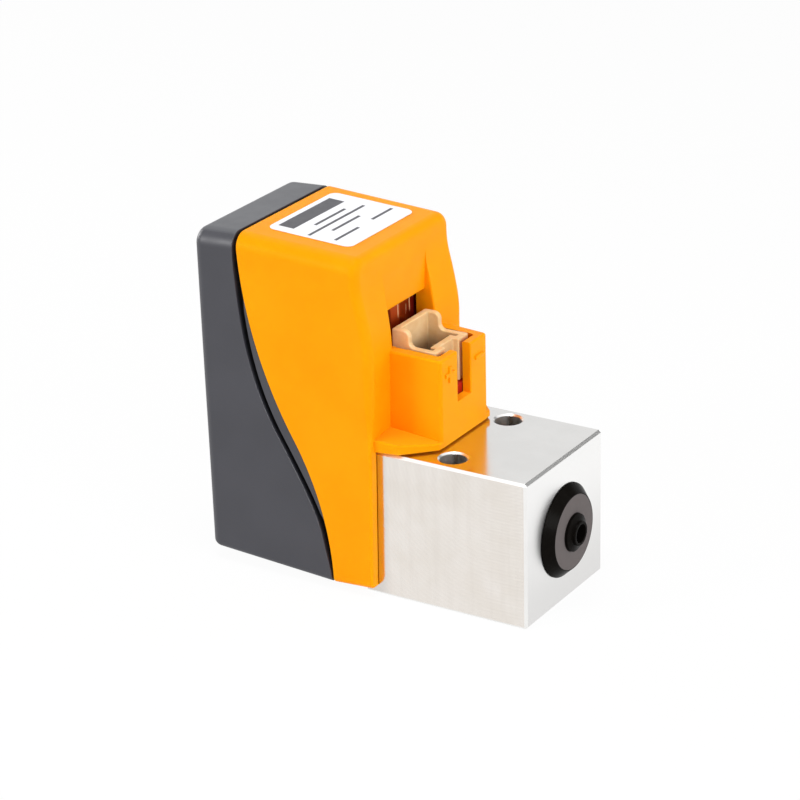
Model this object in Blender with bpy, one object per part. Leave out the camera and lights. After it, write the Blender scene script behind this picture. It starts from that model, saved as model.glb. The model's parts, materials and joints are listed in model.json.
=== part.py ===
"""Miniature proportional solenoid valve on an aluminium manifold block.

Metres, +Z up. The block stands on z = 0, the port looks along +X, and the origin is the middle
of the overall footprint, on the base. A "depth" is a distance behind the block's front face.
The armature lifts along +Z off the orifice seat.
"""
import math
from collections import namedtuple

import bmesh
import bpy
from mathutils import Matrix, Vector

MM = 0.001

# Clearances
SEAT_GAP = 0.10 * MM        # between faces that rest on each other
FIT_GAP = 0.06 * MM         # radial, between a close fit's two pieces
RUN_GAP = 0.08 * MM         # radial, round the sliding armature
COVER_GAP = 0.12 * MM       # between mouldings, and between a moulding and the block
REACH = 1.0 * MM            # how far a cutter runs past what it cuts
SHARPEST = 0.08 * MM        # smallest radius of a moulding's inner corner

# Manifold block
BODY_WIDTH = 18.0 * MM
BODY_HEIGHT = 18.0 * MM
HEAD_LENGTH = 21.5 * MM
TONGUE_INSET = 0.3 * MM     # of the tongue's side, from the flux plate's
BODY_CHAMFER = 0.3 * MM
MOUNT_HOLE_RADIUS = 1.6 * MM
MOUNT_HOLE_DEPTH = 10.9 * MM
MOUNT_HOLE_SPACING = 12.6 * MM
HOLE_CHAMFER = 0.2 * MM
INLET_RADIUS = 1.2 * MM
OUTLET_RADIUS = 1.1 * MM
DROP_RADIUS = 0.95 * MM     # the two upright drillings that meet the outlet run
OUTLET_HEIGHT = 3.2 * MM
OVERRUN = 0.4 * MM          # of the outlet's drillings past each other's axis
CHAMBER_RADIUS = 4.0 * MM
CHAMBER_FLOOR = 6.8 * MM
PLUG_RADIUS = 1.6 * MM
PLUG_LENGTH = 3.0 * MM

# Port nipple
PORT_HEIGHT = 8.9 * MM
FLANGE_RADIUS = 5.6 * MM
FLANGE_FACE_RADIUS = 4.55 * MM
FLANGE_THICKNESS = 1.2 * MM
NOZZLE_RADIUS = 2.25 * MM
NOZZLE_TIP_RADIUS = 1.48 * MM
NOZZLE_BAND = 0.35 * MM
NOZZLE_SHOULDER = 0.2 * MM
NOZZLE_LENGTH = 0.95 * MM
NIPPLE_BORE = 1.1 * MM
SPIGOT_RADIUS = 2.5 * MM
SPIGOT_LENGTH = 4.8 * MM
SCREEN_THICKNESS = 0.4 * MM
SCREEN_HOLE_RADIUS = 0.32 * MM
SCREEN_HOLE_PITCH = 1.05 * MM

# Seals
RING_SECTION = 1.0 * MM
BASE_RING_RADIUS = 3.4 * MM

# Orifice seat and poppet
SEAT_RADIUS = 3.0 * MM
SEAT_HEIGHT = 1.7 * MM
SEAT_LIP_RADIUS = 1.1 * MM
SEAT_LIP_HEIGHT = 0.9 * MM
SEAT_LIP_SLOPE = 0.3 * MM
ORIFICE_RADIUS = 0.5 * MM
POPPET_RADIUS = 1.7 * MM
POPPET_THICKNESS = 1.4 * MM
POPPET_PROUD = 0.45 * MM

# Armature, its tube and the fixed core
STROKE = 0.5 * MM
ARMATURE_RADIUS = 2.95 * MM
ARMATURE_LENGTH = 19.0 * MM
VENT_SLOT_WIDTH = 0.8 * MM
VENT_SLOT_DEPTH = 0.5 * MM
STOP_GAP = 0.12 * MM
TUBE_WALL = 0.3 * MM
TUBE_FLANGE_RADIUS = 5.9 * MM
TUBE_FLANGE_THICKNESS = 1.0 * MM
STUD_RADIUS = 1.45 * MM
STUD_CHAMFER = 0.3 * MM
SPRING_RADIUS = 0.95 * MM
SPRING_WIRE = 0.15 * MM
SPRING_TURNS = 8
SPRING_END_PITCH = 0.33 * MM
SPRING_ROOM = 0.3 * MM      # round the spring in its pockets
SPRING_POCKET = 5.5 * MM
SPRING_CAP_POCKET = 1.5 * MM

# Coil and flux path
AXIS_DEPTH = 30.3 * MM
PLATE_SIDE = 16.0 * MM
PLATE_THICKNESS = 1.8 * MM
PLATE_SCREW_INSET = 2.1 * MM
PLATE_SCREW_RADIUS = 0.9 * MM
PLATE_SCREW_HEAD = 1.7 * MM
PLATE_SCREW_LENGTH = 6.0 * MM
PLATE_SCREW_SOCKET = 0.75 * MM
PLATE_SCREW_SOCKET_DEPTH = 0.7 * MM
BOBBIN_HEIGHT = 15.0 * MM
BOBBIN_WALL = 0.7 * MM
BOBBIN_FLANGE_RADIUS = 7.85 * MM
BOBBIN_FLANGE = 1.0 * MM
WINDING_RADIUS = 7.8 * MM
WINDING_SHOULDER = 0.35 * MM
WINDING_SHOULDER_HEIGHT = 0.8 * MM
FRAME_THICKNESS = 0.75 * MM
FRAME_TOP_THICKNESS = 1.4 * MM
FRAME_WIDTH = 12.0 * MM
FRAME_BEND = 0.7 * MM
NUT_ACROSS_FLATS = 5.5 * MM
NUT_HEIGHT = 2.4 * MM
NUT_CHAMFER = 0.3 * MM

# Housing: two drafted mouldings that meet on an S-shaped line
HOUSING_BOTTOM = 0.8 * MM
HOUSING_WALL = 1.15 * MM
CROWN_ROOM = 1.6 * MM       # over the core's stud
REAR_ROOM = 3.35 * MM        # behind the tongue
LEG_ROOM = 0.3 * MM          # beside the flux frame
SIDE_SLACK = 0.3 * MM       # of the side walls, past the block's clearance
INNER_ROUND = 0.4            # share of an outer edge's radius that its inner edge has
TOP_EDGE_RADIUS = 1.9 * MM
BOTTOM_EDGE_RADIUS = 0.7 * MM
REAR_EDGE_RADIUS = 1.3 * MM
REAR_LEAN = 0.4 * MM
SIDE_DRAFT = math.radians(0.9)
TOP_DRAFT = math.radians(2.75)
SPLIT_FROM_REAR = 6.05 * MM  # where the split crosses the top
SPLIT_SLOPE = 0.59           # the split's steepest run, at its inflection
SPLIT_HEIGHT = 18.0 * MM     # the inflection's height
SPLIT_UPPER_RADIUS = 50.0 * MM
SPLIT_LOWER_RADIUS = 36.0 * MM
STRIP_WIDTH = 1.4 * MM       # widest bare strip of the rear moulding's lip
STRIP_HEIGHT = 18.3 * MM
STRIP_RISE = 20.0 * MM
STRIP_DROP = 12.5 * MM
GROOVE_WIDTH = 0.65 * MM
GROOVE_TOP_WIDTH = 0.4 * MM
GROOVE_FOOT_WIDTH = 0.15 * MM
GROOVE_FADE = 5.0 * MM
GROOVE_DEPTH = 0.6 * MM
STRIP_STEP = 0.1 * MM
STEP_SLANT = 0.02 * MM       # run of the short faces that step between two insets
LIP_REACH = 1.1 * MM
LIP_STEP = 0.62 * MM

# Front moulding
PANEL_AHEAD = 9.3 * MM      # of the coil's axis
FOOT_AHEAD = 2.4 * MM       # of the panel
FRONT_LEAN = 0.5 * MM
FLARE = 1.45 * MM
FLARE_HEIGHT = 10.6 * MM
FLARE_UNDER_TOP = 2.2 * MM
CHEEK_EDGE_RADIUS = 1.1 * MM
FOOT_EDGE_RADIUS = 0.3 * MM
EDGE_GROWTH_BELOW = 2.0 * MM  # the front edge softens from below the block's top
EDGE_GROWTH_ABOVE = 10.0 * MM  # to above it
FOOT_BEVEL = 1.0 * MM
PANEL_UNDER_TOP = 3.0 * MM
RECESS_SIDE = 0.6 * MM      # of the recess round the panel, beside the pocket's inside
FACE_TILT = 0.4 * MM        # set-back of the cheeks' inner edges
FACE_HEIGHT = 0.98          # share of the front face that lies inside its border
PANEL_LEAN = 0.4 * MM       # forwards, so that the panel meets the top without a step
WINDOW_OVER_POCKET = 4.05 * MM
POCKET_WALL = 1.1 * MM
POCKET_UNDER_LEDGE = 0.2 * MM  # of the header
POCKET_FLOOR = 1.0 * MM
POCKET_EDGE = 0.2 * MM
POCKET_SPREAD = 0.4 * MM    # on each side, at its root, by the mould's draft
POCKET_RISE = 0.25 * MM
LEDGE_WIDTH = 0.9 * MM
SLOT_HALF_WIDTH = 1.47 * MM
SLOT_SILL = 0.1 * MM
SHELF_GAP = 0.2 * MM
SHELF_THICKNESS = 0.85 * MM
SHELF_RISE = 0.9 * MM       # at its root, by the draft
SHELF_INSET = 0.5 * MM
SHELF_CORNER = 3.5 * MM     # behind the pocket's front
SHELF_CORNER_INSET = 1.4 * MM
SHELF_EAR = 0.55 * MM

# Electrical
BOARD_RISE = 4.65 * MM      # over the block
BOARD_THICKNESS = 1.2 * MM
BOARD_COIL_GAP = 0.6 * MM
HEADER_WIDTH = 7.4 * MM
HEADER_LENGTH = 5.75 * MM
HEADER_FRONT_CLEARANCE = 0.5 * MM
HEADER_SIDE_CLEARANCE = 0.4 * MM
HEADER_BEHIND = 0.65 * MM   # from the header to the panel
HEADER_WALL = 0.8 * MM
HEADER_BACK_HEIGHT = 7.15 * MM
HEADER_FRONT_HEIGHT = 5.15 * MM
HEADER_FLOOR = 1.2 * MM
HEADER_EAR_LENGTH = 2.25 * MM
HEADER_EAR_RADIUS = 0.7 * MM
HEADER_KEY_WIDTH = 2.9 * MM
HEADER_KEY_STEP = 0.75 * MM
PIN_SIDE = 0.6 * MM
PIN_PITCH = 2.5 * MM
PIN_FROM_FRONT = 3.15 * MM
PIN_TOP = 3.9 * MM
PIN_TAIL = 1.2 * MM
LEAD_RADIUS = 0.2 * MM
LEAD_INSET = 1.3 * MM
LEAD_TAIL = 0.5 * MM

# Label
LABEL_WIDTH = 14.1 * MM
LABEL_LENGTH = 11.25 * MM
LABEL_THICKNESS = 0.1 * MM
LABEL_AHEAD = 7.5 * MM     # of the split
LABEL_OFFSET = 0.25 * MM
LABEL_CORNER = 1.0 * MM

# Places worked out from the sizes above
TONGUE_WIDTH = PLATE_SIDE - 2.0 * TONGUE_INSET
TONGUE_END = AXIS_DEPTH + PLATE_SIDE / 2.0
PORT_REACH = FLANGE_THICKNESS + NOZZLE_LENGTH
PORT_BORE_RADIUS = SPIGOT_RADIUS + FIT_GAP
PORT_BORE_DEPTH = SEAT_GAP + SPIGOT_LENGTH + SEAT_GAP + SCREEN_THICKNESS + SEAT_GAP
SEAT_BASE = CHAMBER_FLOOR - SEAT_HEIGHT
SEAT_LIP_TOP = CHAMBER_FLOOR + SEAT_LIP_HEIGHT
POPPET_BASE = SEAT_LIP_TOP + SEAT_GAP
ARMATURE_BASE = POPPET_BASE + POPPET_PROUD
ARMATURE_TOP = ARMATURE_BASE + ARMATURE_LENGTH
TUBE_BORE = ARMATURE_RADIUS + RUN_GAP
TUBE_RADIUS = TUBE_BORE + TUBE_WALL
SPRING_BORE = SPRING_RADIUS + SPRING_WIRE + SPRING_ROOM
FLANGE_BASE = BODY_HEIGHT - TUBE_FLANGE_THICKNESS
TUBE_RING_OUTER = CHAMBER_RADIUS + RING_SECTION + FIT_GAP
TUBE_RING_FLOOR = FLANGE_BASE - SEAT_GAP - RING_SECTION
PLATE_BASE = BODY_HEIGHT + SEAT_GAP
PLATE_TOP = PLATE_BASE + PLATE_THICKNESS
BOBBIN_BASE = PLATE_TOP + SEAT_GAP
BOBBIN_TOP = BOBBIN_BASE + BOBBIN_HEIGHT
BOBBIN_BORE = TUBE_RADIUS + FIT_GAP
FRAME_TOP = BOBBIN_TOP + SEAT_GAP
CORE_BASE = ARMATURE_TOP + STROKE + STOP_GAP
CORE_TOP = FRAME_TOP - SEAT_GAP
STUD_TOP = FRAME_TOP + FRAME_TOP_THICKNESS + SEAT_GAP + NUT_HEIGHT + SEAT_GAP
LEG_INNER = max(PLATE_SIDE / 2.0, BOBBIN_FLANGE_RADIUS) + FIT_GAP
LEG_OUTER = LEG_INNER + FRAME_THICKNESS
INNER_HALF_WIDTH = max(BODY_WIDTH / 2.0 + COVER_GAP, LEG_OUTER + LEG_ROOM) + SIDE_SLACK
HOUSING_WIDTH = 2.0 * (INNER_HALF_WIDTH + HOUSING_WALL)
HOUSING_TOP = STUD_TOP + CROWN_ROOM + HOUSING_WALL
HOUSING_DEPTH = TONGUE_END + REAR_ROOM + HOUSING_WALL
SPLIT_DEPTH = HOUSING_DEPTH - SPLIT_FROM_REAR
FRONT_X = (HOUSING_DEPTH - PORT_REACH) / 2.0
AXIS_X = FRONT_X - AXIS_DEPTH
HOLE_X = FRONT_X - MOUNT_HOLE_DEPTH
PANEL_DEPTH = AXIS_DEPTH - PANEL_AHEAD
FRONT_FOOT_DEPTH = PANEL_DEPTH - FOOT_AHEAD
FLARE_END = HOUSING_TOP - FLARE_UNDER_TOP
FLARE_START = FLARE_END - FLARE_HEIGHT
HEADER_FRONT = PANEL_DEPTH - HEADER_BEHIND - HEADER_LENGTH
POCKET_INSIDE = HEADER_FRONT - HEADER_FRONT_CLEARANCE
POCKET_DEPTH = POCKET_INSIDE - POCKET_WALL
POCKET_HALF_WIDTH = HEADER_WIDTH / 2.0 + HEADER_SIDE_CLEARANCE
BOARD_BASE = BODY_HEIGHT + BOARD_RISE
BOARD_TOP = BOARD_BASE + BOARD_THICKNESS
BOARD_END = AXIS_DEPTH - BOBBIN_FLANGE_RADIUS - BOARD_COIL_GAP
HEADER_BASE = BOARD_TOP + SEAT_GAP
HEADER_LEDGE = HEADER_BASE + HEADER_FRONT_HEIGHT
POCKET_TOP = HEADER_LEDGE - POCKET_UNDER_LEDGE
WINDOW_TOP = POCKET_TOP + WINDOW_OVER_POCKET
SHELF_BASE = BODY_HEIGHT + SHELF_GAP
RECESS_HALF_WIDTH = POCKET_HALF_WIDTH + RECESS_SIDE
PIN_X = FRONT_X - HEADER_FRONT - PIN_FROM_FRONT
PIN_HOLE_RADIUS = PIN_SIDE / math.sqrt(2.0) + FIT_GAP

COLOURS = {
    "aluminium": ((0.80, 0.78, 0.75), 0.32, 1.0),
    "black_oxide": ((0.012, 0.011, 0.011), 0.30, 0.6),
    "seal_rubber": ((0.014, 0.014, 0.015), 0.65, 0.0),
    "red_rubber": ((0.30, 0.03, 0.02), 0.60, 0.0),
    "stainless": ((0.56, 0.55, 0.53), 0.25, 1.0),
    "magnetic_steel": ((0.42, 0.42, 0.42), 0.38, 1.0),
    "zinc_steel": ((0.60, 0.60, 0.57), 0.30, 1.0),
    "spring_steel": ((0.50, 0.50, 0.50), 0.25, 1.0),
    "bobbin_nylon": ((0.05, 0.05, 0.05), 0.50, 0.0),
    "coil_tape": ((0.30, 0.045, 0.008), 0.28, 0.0),
    "board_red": ((0.40, 0.012, 0.006), 0.40, 0.0),
    "header_nylon": ((0.86, 0.62, 0.40), 0.45, 0.0),
    "tinned_brass": ((0.70, 0.62, 0.42), 0.30, 1.0),
    "orange_moulding": ((0.98, 0.37, 0.004), 0.42, 0.0),
    "grey_moulding": ((0.085, 0.083, 0.098), 0.48, 0.0),
    "label_white": ((0.90, 0.90, 0.91), 0.35, 0.0),
}


def clear_scene():
    """Remove every object that the file holds."""
    for thing in list(bpy.data.objects):
        bpy.data.objects.remove(thing, do_unlink=True)


def material(name):
    """Return the named finish as a Principled material, made once."""
    found = bpy.data.materials.get(name)
    if found:
        return found
    colour, roughness, metallic = COLOURS[name]
    made = bpy.data.materials.new(name)
    made.use_nodes = True
    shader = made.node_tree.nodes["Principled BSDF"]
    shader.inputs["Base Color"].default_value = (*colour, 1.0)
    shader.inputs["Roughness"].default_value = roughness
    shader.inputs["Metallic"].default_value = metallic
    return made


def add_object(name, data, finish):
    """Link an object that holds the mesh or curve, with its finish."""
    made = bpy.data.objects.new(name, data)
    bpy.context.scene.collection.objects.link(made)
    if finish:
        data.materials.append(material(finish))
    return made


def mesh_object(name, bm, finish, smooth_angle=None):
    """Turn a bmesh into an object, with outward faces and optional smooth shading."""
    bmesh.ops.recalc_face_normals(bm, faces=bm.faces)
    mesh = bpy.data.meshes.new(name)
    bm.to_mesh(mesh)
    bm.free()
    if smooth_angle:
        mesh.shade_smooth()
        mesh.set_sharp_from_angle(angle=math.radians(smooth_angle))
    return add_object(name, mesh, finish)


def turned(name, profile, finish, at, axis="Z", segments=32):
    """Spin a closed (radius, height) profile once round the axis through the point at."""
    bm = bmesh.new()
    verts = [bm.verts.new((radius, 0.0, height)) for radius, height in profile]
    edges = [bm.edges.new((verts[i - 1], verts[i])) for i in range(len(verts))]
    bmesh.ops.spin(bm, geom=verts + edges, cent=(0, 0, 0), axis=(0, 0, 1),
                   angle=math.tau, steps=segments, use_merge=True)
    bmesh.ops.remove_doubles(bm, verts=bm.verts, dist=1e-7)
    bmesh.ops.dissolve_degenerate(bm, edges=bm.edges, dist=1e-8)
    spare = [edge for edge in bm.edges if not edge.link_faces]
    bmesh.ops.delete(bm, geom=spare, context="EDGES")
    turn = Matrix.Rotation(math.radians(90.0), 4, "Y") if axis == "X" else Matrix.Identity(4)
    bmesh.ops.transform(bm, matrix=Matrix.Translation(at) @ turn, verts=bm.verts)
    return mesh_object(name, bm, finish, smooth_angle=35)


def prism(name, points, low, high, finish=None):
    """Extrude a plan outline of (x, y) points from one height to another."""
    bm = bmesh.new()
    face = bm.faces.new([bm.verts.new((x, y, low)) for x, y in points])
    grown = bmesh.ops.extrude_face_region(bm, geom=[face])
    top = [item for item in grown["geom"] if isinstance(item, bmesh.types.BMVert)]
    bmesh.ops.translate(bm, vec=(0, 0, high - low), verts=top)
    return mesh_object(name, bm, finish)


def side_prism(name, points, half_width, finish=None):
    """Extrude a side outline of (x, z) points equally to both sides of the middle plane."""
    bm = bmesh.new()
    face = bm.faces.new([bm.verts.new((x, -half_width, z)) for x, z in points])
    grown = bmesh.ops.extrude_face_region(bm, geom=[face])
    far = [item for item in grown["geom"] if isinstance(item, bmesh.types.BMVert)]
    bmesh.ops.translate(bm, vec=(0, 2.0 * half_width, 0), verts=far)
    return mesh_object(name, bm, finish)


def block(name, depths, half_width, heights, finish=None):
    """Make a box between two depths and two heights, equal to both sides of the middle."""
    front, back = FRONT_X - min(depths), FRONT_X - max(depths)
    corners = [(back, -half_width), (front, -half_width), (front, half_width), (back, half_width)]
    return prism(name, corners, heights[0], heights[1], finish)


def rod(name, radius, heights, at, segments=24):
    """Make an upright cylinder for a cut."""
    low, high = heights
    profile = [(0.0, high), (radius, high), (radius, low), (0.0, low)]
    return turned(name, profile, None, (at[0], at[1], 0.0), segments=segments)


def stepped_drill(name, steps, end, at, axis="Z", segments=28):
    """Make a cutter of (radius, start) steps along its axis, each running to the next start."""
    starts = [start for radius, start in steps]
    profile = [(0.0, starts[0])]
    for (radius, start), stop in zip(steps, starts[1:] + [end]):
        profile += [(radius, start), (radius, stop)]
    return turned(name, profile + [(0.0, end)], None, at, axis=axis, segments=segments)


def combine(target, tool, operation):
    """Cut or join the tool's shape, and keep the tool out of the model."""
    tool.hide_render = True
    tool.display_type = "WIRE"
    step = target.modifiers.new(tool.name, "BOOLEAN")
    step.operation = operation
    step.solver = "EXACT"
    step.object = tool


def cut(target, tool):
    """Take the tool's shape out of the target."""
    combine(target, tool, "DIFFERENCE")


def join(target, tool):
    """Add the tool's shape to the target."""
    combine(target, tool, "UNION")


def soften(target, width, segments=1, angle=40.0):
    """Bevel the edges that are sharper than the angle."""
    step = target.modifiers.new("edges", "BEVEL")
    step.width = width
    step.segments = segments
    step.limit_method = "ANGLE"
    step.angle_limit = math.radians(angle)


def wire(name, points, radius, finish):
    """Run a round wire through the points."""
    curve = bpy.data.curves.new(name, "CURVE")
    curve.dimensions = "3D"
    curve.bevel_depth = radius
    curve.bevel_resolution = 1
    curve.use_fill_caps = True
    spline = curve.splines.new("POLY")
    spline.points.add(len(points) - 1)
    for point, place in zip(spline.points, points):
        point.co = (*place, 1.0)
    return add_object(name, curve, finish)


def o_ring(name, inner, outer, low, high, at, axis="Z", finish="seal_rubber"):
    """Make a seal ring that fills its groove between two radii and two heights."""
    middle = ((inner + outer) / 2.0, (low + high) / 2.0)
    half_width, half_height = (outer - inner) / 2.0, (high - low) / 2.0
    steps = [math.tau * k / 8.0 + math.pi / 8.0 for k in range(8)]
    grow = 1.0 / math.cos(math.pi / 8.0)
    profile = [(middle[0] + half_width * grow * math.cos(a),
                middle[1] + half_height * grow * math.sin(a)) for a in steps]
    return turned(name, profile, finish, at, axis=axis, segments=28)


def make_body():
    """Manifold block: drilled head in front, narrower tongue under the coil."""
    half_head, half_tongue = BODY_WIDTH / 2.0, TONGUE_WIDTH / 2.0
    step_x, end_x = FRONT_X - HEAD_LENGTH, FRONT_X - TONGUE_END
    plan = [(FRONT_X, half_head), (step_x, half_head), (step_x, half_tongue), (end_x, half_tongue),
            (end_x, -half_tongue), (step_x, -half_tongue), (step_x, -half_head), (FRONT_X, -half_head)]
    body = prism("valve_body", plan, 0.0, BODY_HEIGHT, "aluminium")
    soften(body, BODY_CHAMFER)
    wide = MOUNT_HOLE_RADIUS + HOLE_CHAMFER + REACH
    for side in (-1, 1):
        y = side * MOUNT_HOLE_SPACING / 2.0
        waist = [(0.0, BODY_HEIGHT + REACH), (wide, BODY_HEIGHT + REACH),
                 (MOUNT_HOLE_RADIUS, BODY_HEIGHT - HOLE_CHAMFER), (MOUNT_HOLE_RADIUS, HOLE_CHAMFER),
                 (wide, -REACH), (0.0, -REACH)]
        cut(body, turned(f"cut_mount_{side}", waist, None, (HOLE_X, y, 0.0), segments=28))
    seal_radius = PORT_BORE_RADIUS + RING_SECTION + FIT_GAP
    port_steps = [(seal_radius, REACH), (PORT_BORE_RADIUS, -RING_SECTION - SEAT_GAP),
                  (INLET_RADIUS, -PORT_BORE_DEPTH)]
    cut(body, stepped_drill("cut_port", port_steps, -AXIS_DEPTH, (FRONT_X, 0.0, PORT_HEIGHT), "X"))
    chamber_steps = [(TUBE_FLANGE_RADIUS + FIT_GAP, BODY_HEIGHT + REACH),
                     (TUBE_RING_OUTER + FIT_GAP, FLANGE_BASE - SEAT_GAP),
                     (CHAMBER_RADIUS, TUBE_RING_FLOOR - SEAT_GAP), (SEAT_RADIUS + FIT_GAP, CHAMBER_FLOOR)]
    cut(body, stepped_drill("cut_chamber", chamber_steps, SEAT_BASE, (AXIS_X, 0.0, 0.0)))
    cut(body, rod("cut_outlet_drop", DROP_RADIUS, (OUTLET_HEIGHT - OVERRUN, SEAT_BASE + REACH),
                  (AXIS_X, 0.0), 18))
    plug_steps = [(PLUG_RADIUS + FIT_GAP, -TONGUE_END - REACH),
                  (OUTLET_RADIUS, PLUG_LENGTH + SEAT_GAP - TONGUE_END)]
    cut(body, stepped_drill("cut_outlet", plug_steps, OUTLET_RADIUS + OVERRUN - MOUNT_HOLE_DEPTH,
                            (FRONT_X, 0.0, OUTLET_HEIGHT), "X", 20))
    base_steps = [(BASE_RING_RADIUS + FIT_GAP, -REACH), (DROP_RADIUS, RING_SECTION + SEAT_GAP)]
    cut(body, stepped_drill("cut_base_port", base_steps, OUTLET_HEIGHT + OVERRUN, (HOLE_X, 0.0, 0.0),
                            "Z", 22))
    for index, (x, y) in enumerate(plate_screw_places()):
        depth = PLATE_BASE + PLATE_THICKNESS - PLATE_SCREW_LENGTH - SEAT_GAP
        cut(body, rod(f"cut_thread_{index}", PLATE_SCREW_RADIUS + FIT_GAP, (depth, BODY_HEIGHT + REACH),
                      (x, y), 12))
    return body


def plate_screw_places():
    """The four corner screws of the flux plate, as (x, y)."""
    reach = PLATE_SIDE / 2.0 - PLATE_SCREW_INSET
    return [(AXIS_X + i * reach, j * reach) for i in (-1, 1) for j in (-1, 1)]


def make_port():
    """Black port nipple with its face seal, and the inlet screen behind it."""
    face = FLANGE_THICKNESS
    band = face + NOZZLE_BAND
    tip = PORT_REACH
    back = SEAT_GAP - SPIGOT_LENGTH
    profile = [(NIPPLE_BORE, tip), (NOZZLE_TIP_RADIUS, tip),
               (NOZZLE_TIP_RADIUS, band + NOZZLE_SHOULDER), (NOZZLE_RADIUS, band), (NOZZLE_RADIUS, face),
               (FLANGE_FACE_RADIUS, face), (FLANGE_RADIUS, SEAT_GAP), (SPIGOT_RADIUS, SEAT_GAP),
               (SPIGOT_RADIUS, back), (NIPPLE_BORE, back)]
    at = (FRONT_X, 0.0, PORT_HEIGHT)
    turned("port_nipple", profile, "black_oxide", at, axis="X", segments=40)
    o_ring("nipple_o_ring", PORT_BORE_RADIUS, PORT_BORE_RADIUS + RING_SECTION,
           -RING_SECTION, 0.0, at, axis="X")
    disc = [(0.0, SCREEN_THICKNESS), (SPIGOT_RADIUS, SCREEN_THICKNESS), (SPIGOT_RADIUS, 0.0), (0.0, 0.0)]
    screen_x = FRONT_X - PORT_BORE_DEPTH + SEAT_GAP
    screen = turned("inlet_screen", disc, "stainless", (screen_x, 0.0, PORT_HEIGHT), axis="X", segments=28)
    holes = [(0.0, 0.0)] + [(SCREEN_HOLE_PITCH * math.cos(math.tau * k / 6.0),
                             SCREEN_HOLE_PITCH * math.sin(math.tau * k / 6.0)) for k in range(6)]
    for index, (across, up) in enumerate(holes):
        hole = [(0.0, REACH), (SCREEN_HOLE_RADIUS, REACH), (SCREEN_HOLE_RADIUS, -REACH), (0.0, -REACH)]
        place = (screen_x, across, PORT_HEIGHT + up)
        cut(screen, turned(f"cut_screen_{index}", hole, None, place, axis="X", segments=8))


def make_seals():
    """Base face seal, tube seal, and the plug that closes the outlet drilling."""
    o_ring("base_o_ring", BASE_RING_RADIUS - RING_SECTION, BASE_RING_RADIUS, 0.0, RING_SECTION,
           (HOLE_X, 0.0, 0.0))
    o_ring("guide_tube_o_ring", CHAMBER_RADIUS + FIT_GAP, TUBE_RING_OUTER,
           TUBE_RING_FLOOR, TUBE_RING_FLOOR + RING_SECTION, (AXIS_X, 0.0, 0.0))
    edge = PLUG_RADIUS - HOLE_CHAMFER
    plug = [(0.0, PLUG_LENGTH), (edge, PLUG_LENGTH), (PLUG_RADIUS, PLUG_LENGTH - HOLE_CHAMFER),
            (PLUG_RADIUS, HOLE_CHAMFER), (edge, 0.0), (0.0, 0.0)]
    turned("channel_plug", plug, "stainless", (FRONT_X - TONGUE_END, 0.0, OUTLET_HEIGHT), axis="X",
           segments=20)


def make_seat():
    """Orifice seat with its raised lip, and the ring that seals it in the block."""
    step = RING_SECTION
    waist = SEAT_RADIUS - RING_SECTION
    low = SEAT_BASE + SEAT_GAP / 2.0
    profile = [(ORIFICE_RADIUS, SEAT_LIP_TOP), (SEAT_LIP_RADIUS - SEAT_LIP_SLOPE, SEAT_LIP_TOP),
               (SEAT_LIP_RADIUS, SEAT_LIP_TOP - SEAT_LIP_SLOPE), (SEAT_LIP_RADIUS, CHAMBER_FLOOR),
               (SEAT_RADIUS, CHAMBER_FLOOR), (SEAT_RADIUS, low + step), (waist, low + step), (waist, low),
               (ORIFICE_RADIUS, low)]
    turned("orifice_seat", profile, "stainless", (AXIS_X, 0.0, 0.0), segments=28)
    o_ring("seat_o_ring", waist + FIT_GAP, SEAT_RADIUS - FIT_GAP, low, low + step - FIT_GAP,
           (AXIS_X, 0.0, 0.0))


def make_tube():
    """Stainless guide tube with its clamped flange."""
    top = CORE_TOP - SEAT_GAP
    profile = [(TUBE_BORE, top), (TUBE_RADIUS, top), (TUBE_RADIUS, BODY_HEIGHT),
               (TUBE_FLANGE_RADIUS, BODY_HEIGHT), (TUBE_FLANGE_RADIUS, FLANGE_BASE), (TUBE_BORE, FLANGE_BASE)]
    turned("guide_tube", profile, "stainless", (AXIS_X, 0.0, 0.0))


def make_core():
    """Fixed core in the tube's upper end, with the stud that holds the frame."""
    core_radius = TUBE_BORE - FIT_GAP
    pocket_end = CORE_BASE + SPRING_CAP_POCKET
    profile = [(0.0, STUD_TOP), (STUD_RADIUS - STUD_CHAMFER, STUD_TOP),
               (STUD_RADIUS, STUD_TOP - STUD_CHAMFER), (STUD_RADIUS, CORE_TOP), (core_radius, CORE_TOP),
               (core_radius, CORE_BASE), (SPRING_BORE, CORE_BASE), (SPRING_BORE, pocket_end),
               (0.0, pocket_end)]
    turned("fixed_core", profile, "magnetic_steel", (AXIS_X, 0.0, 0.0))


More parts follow.
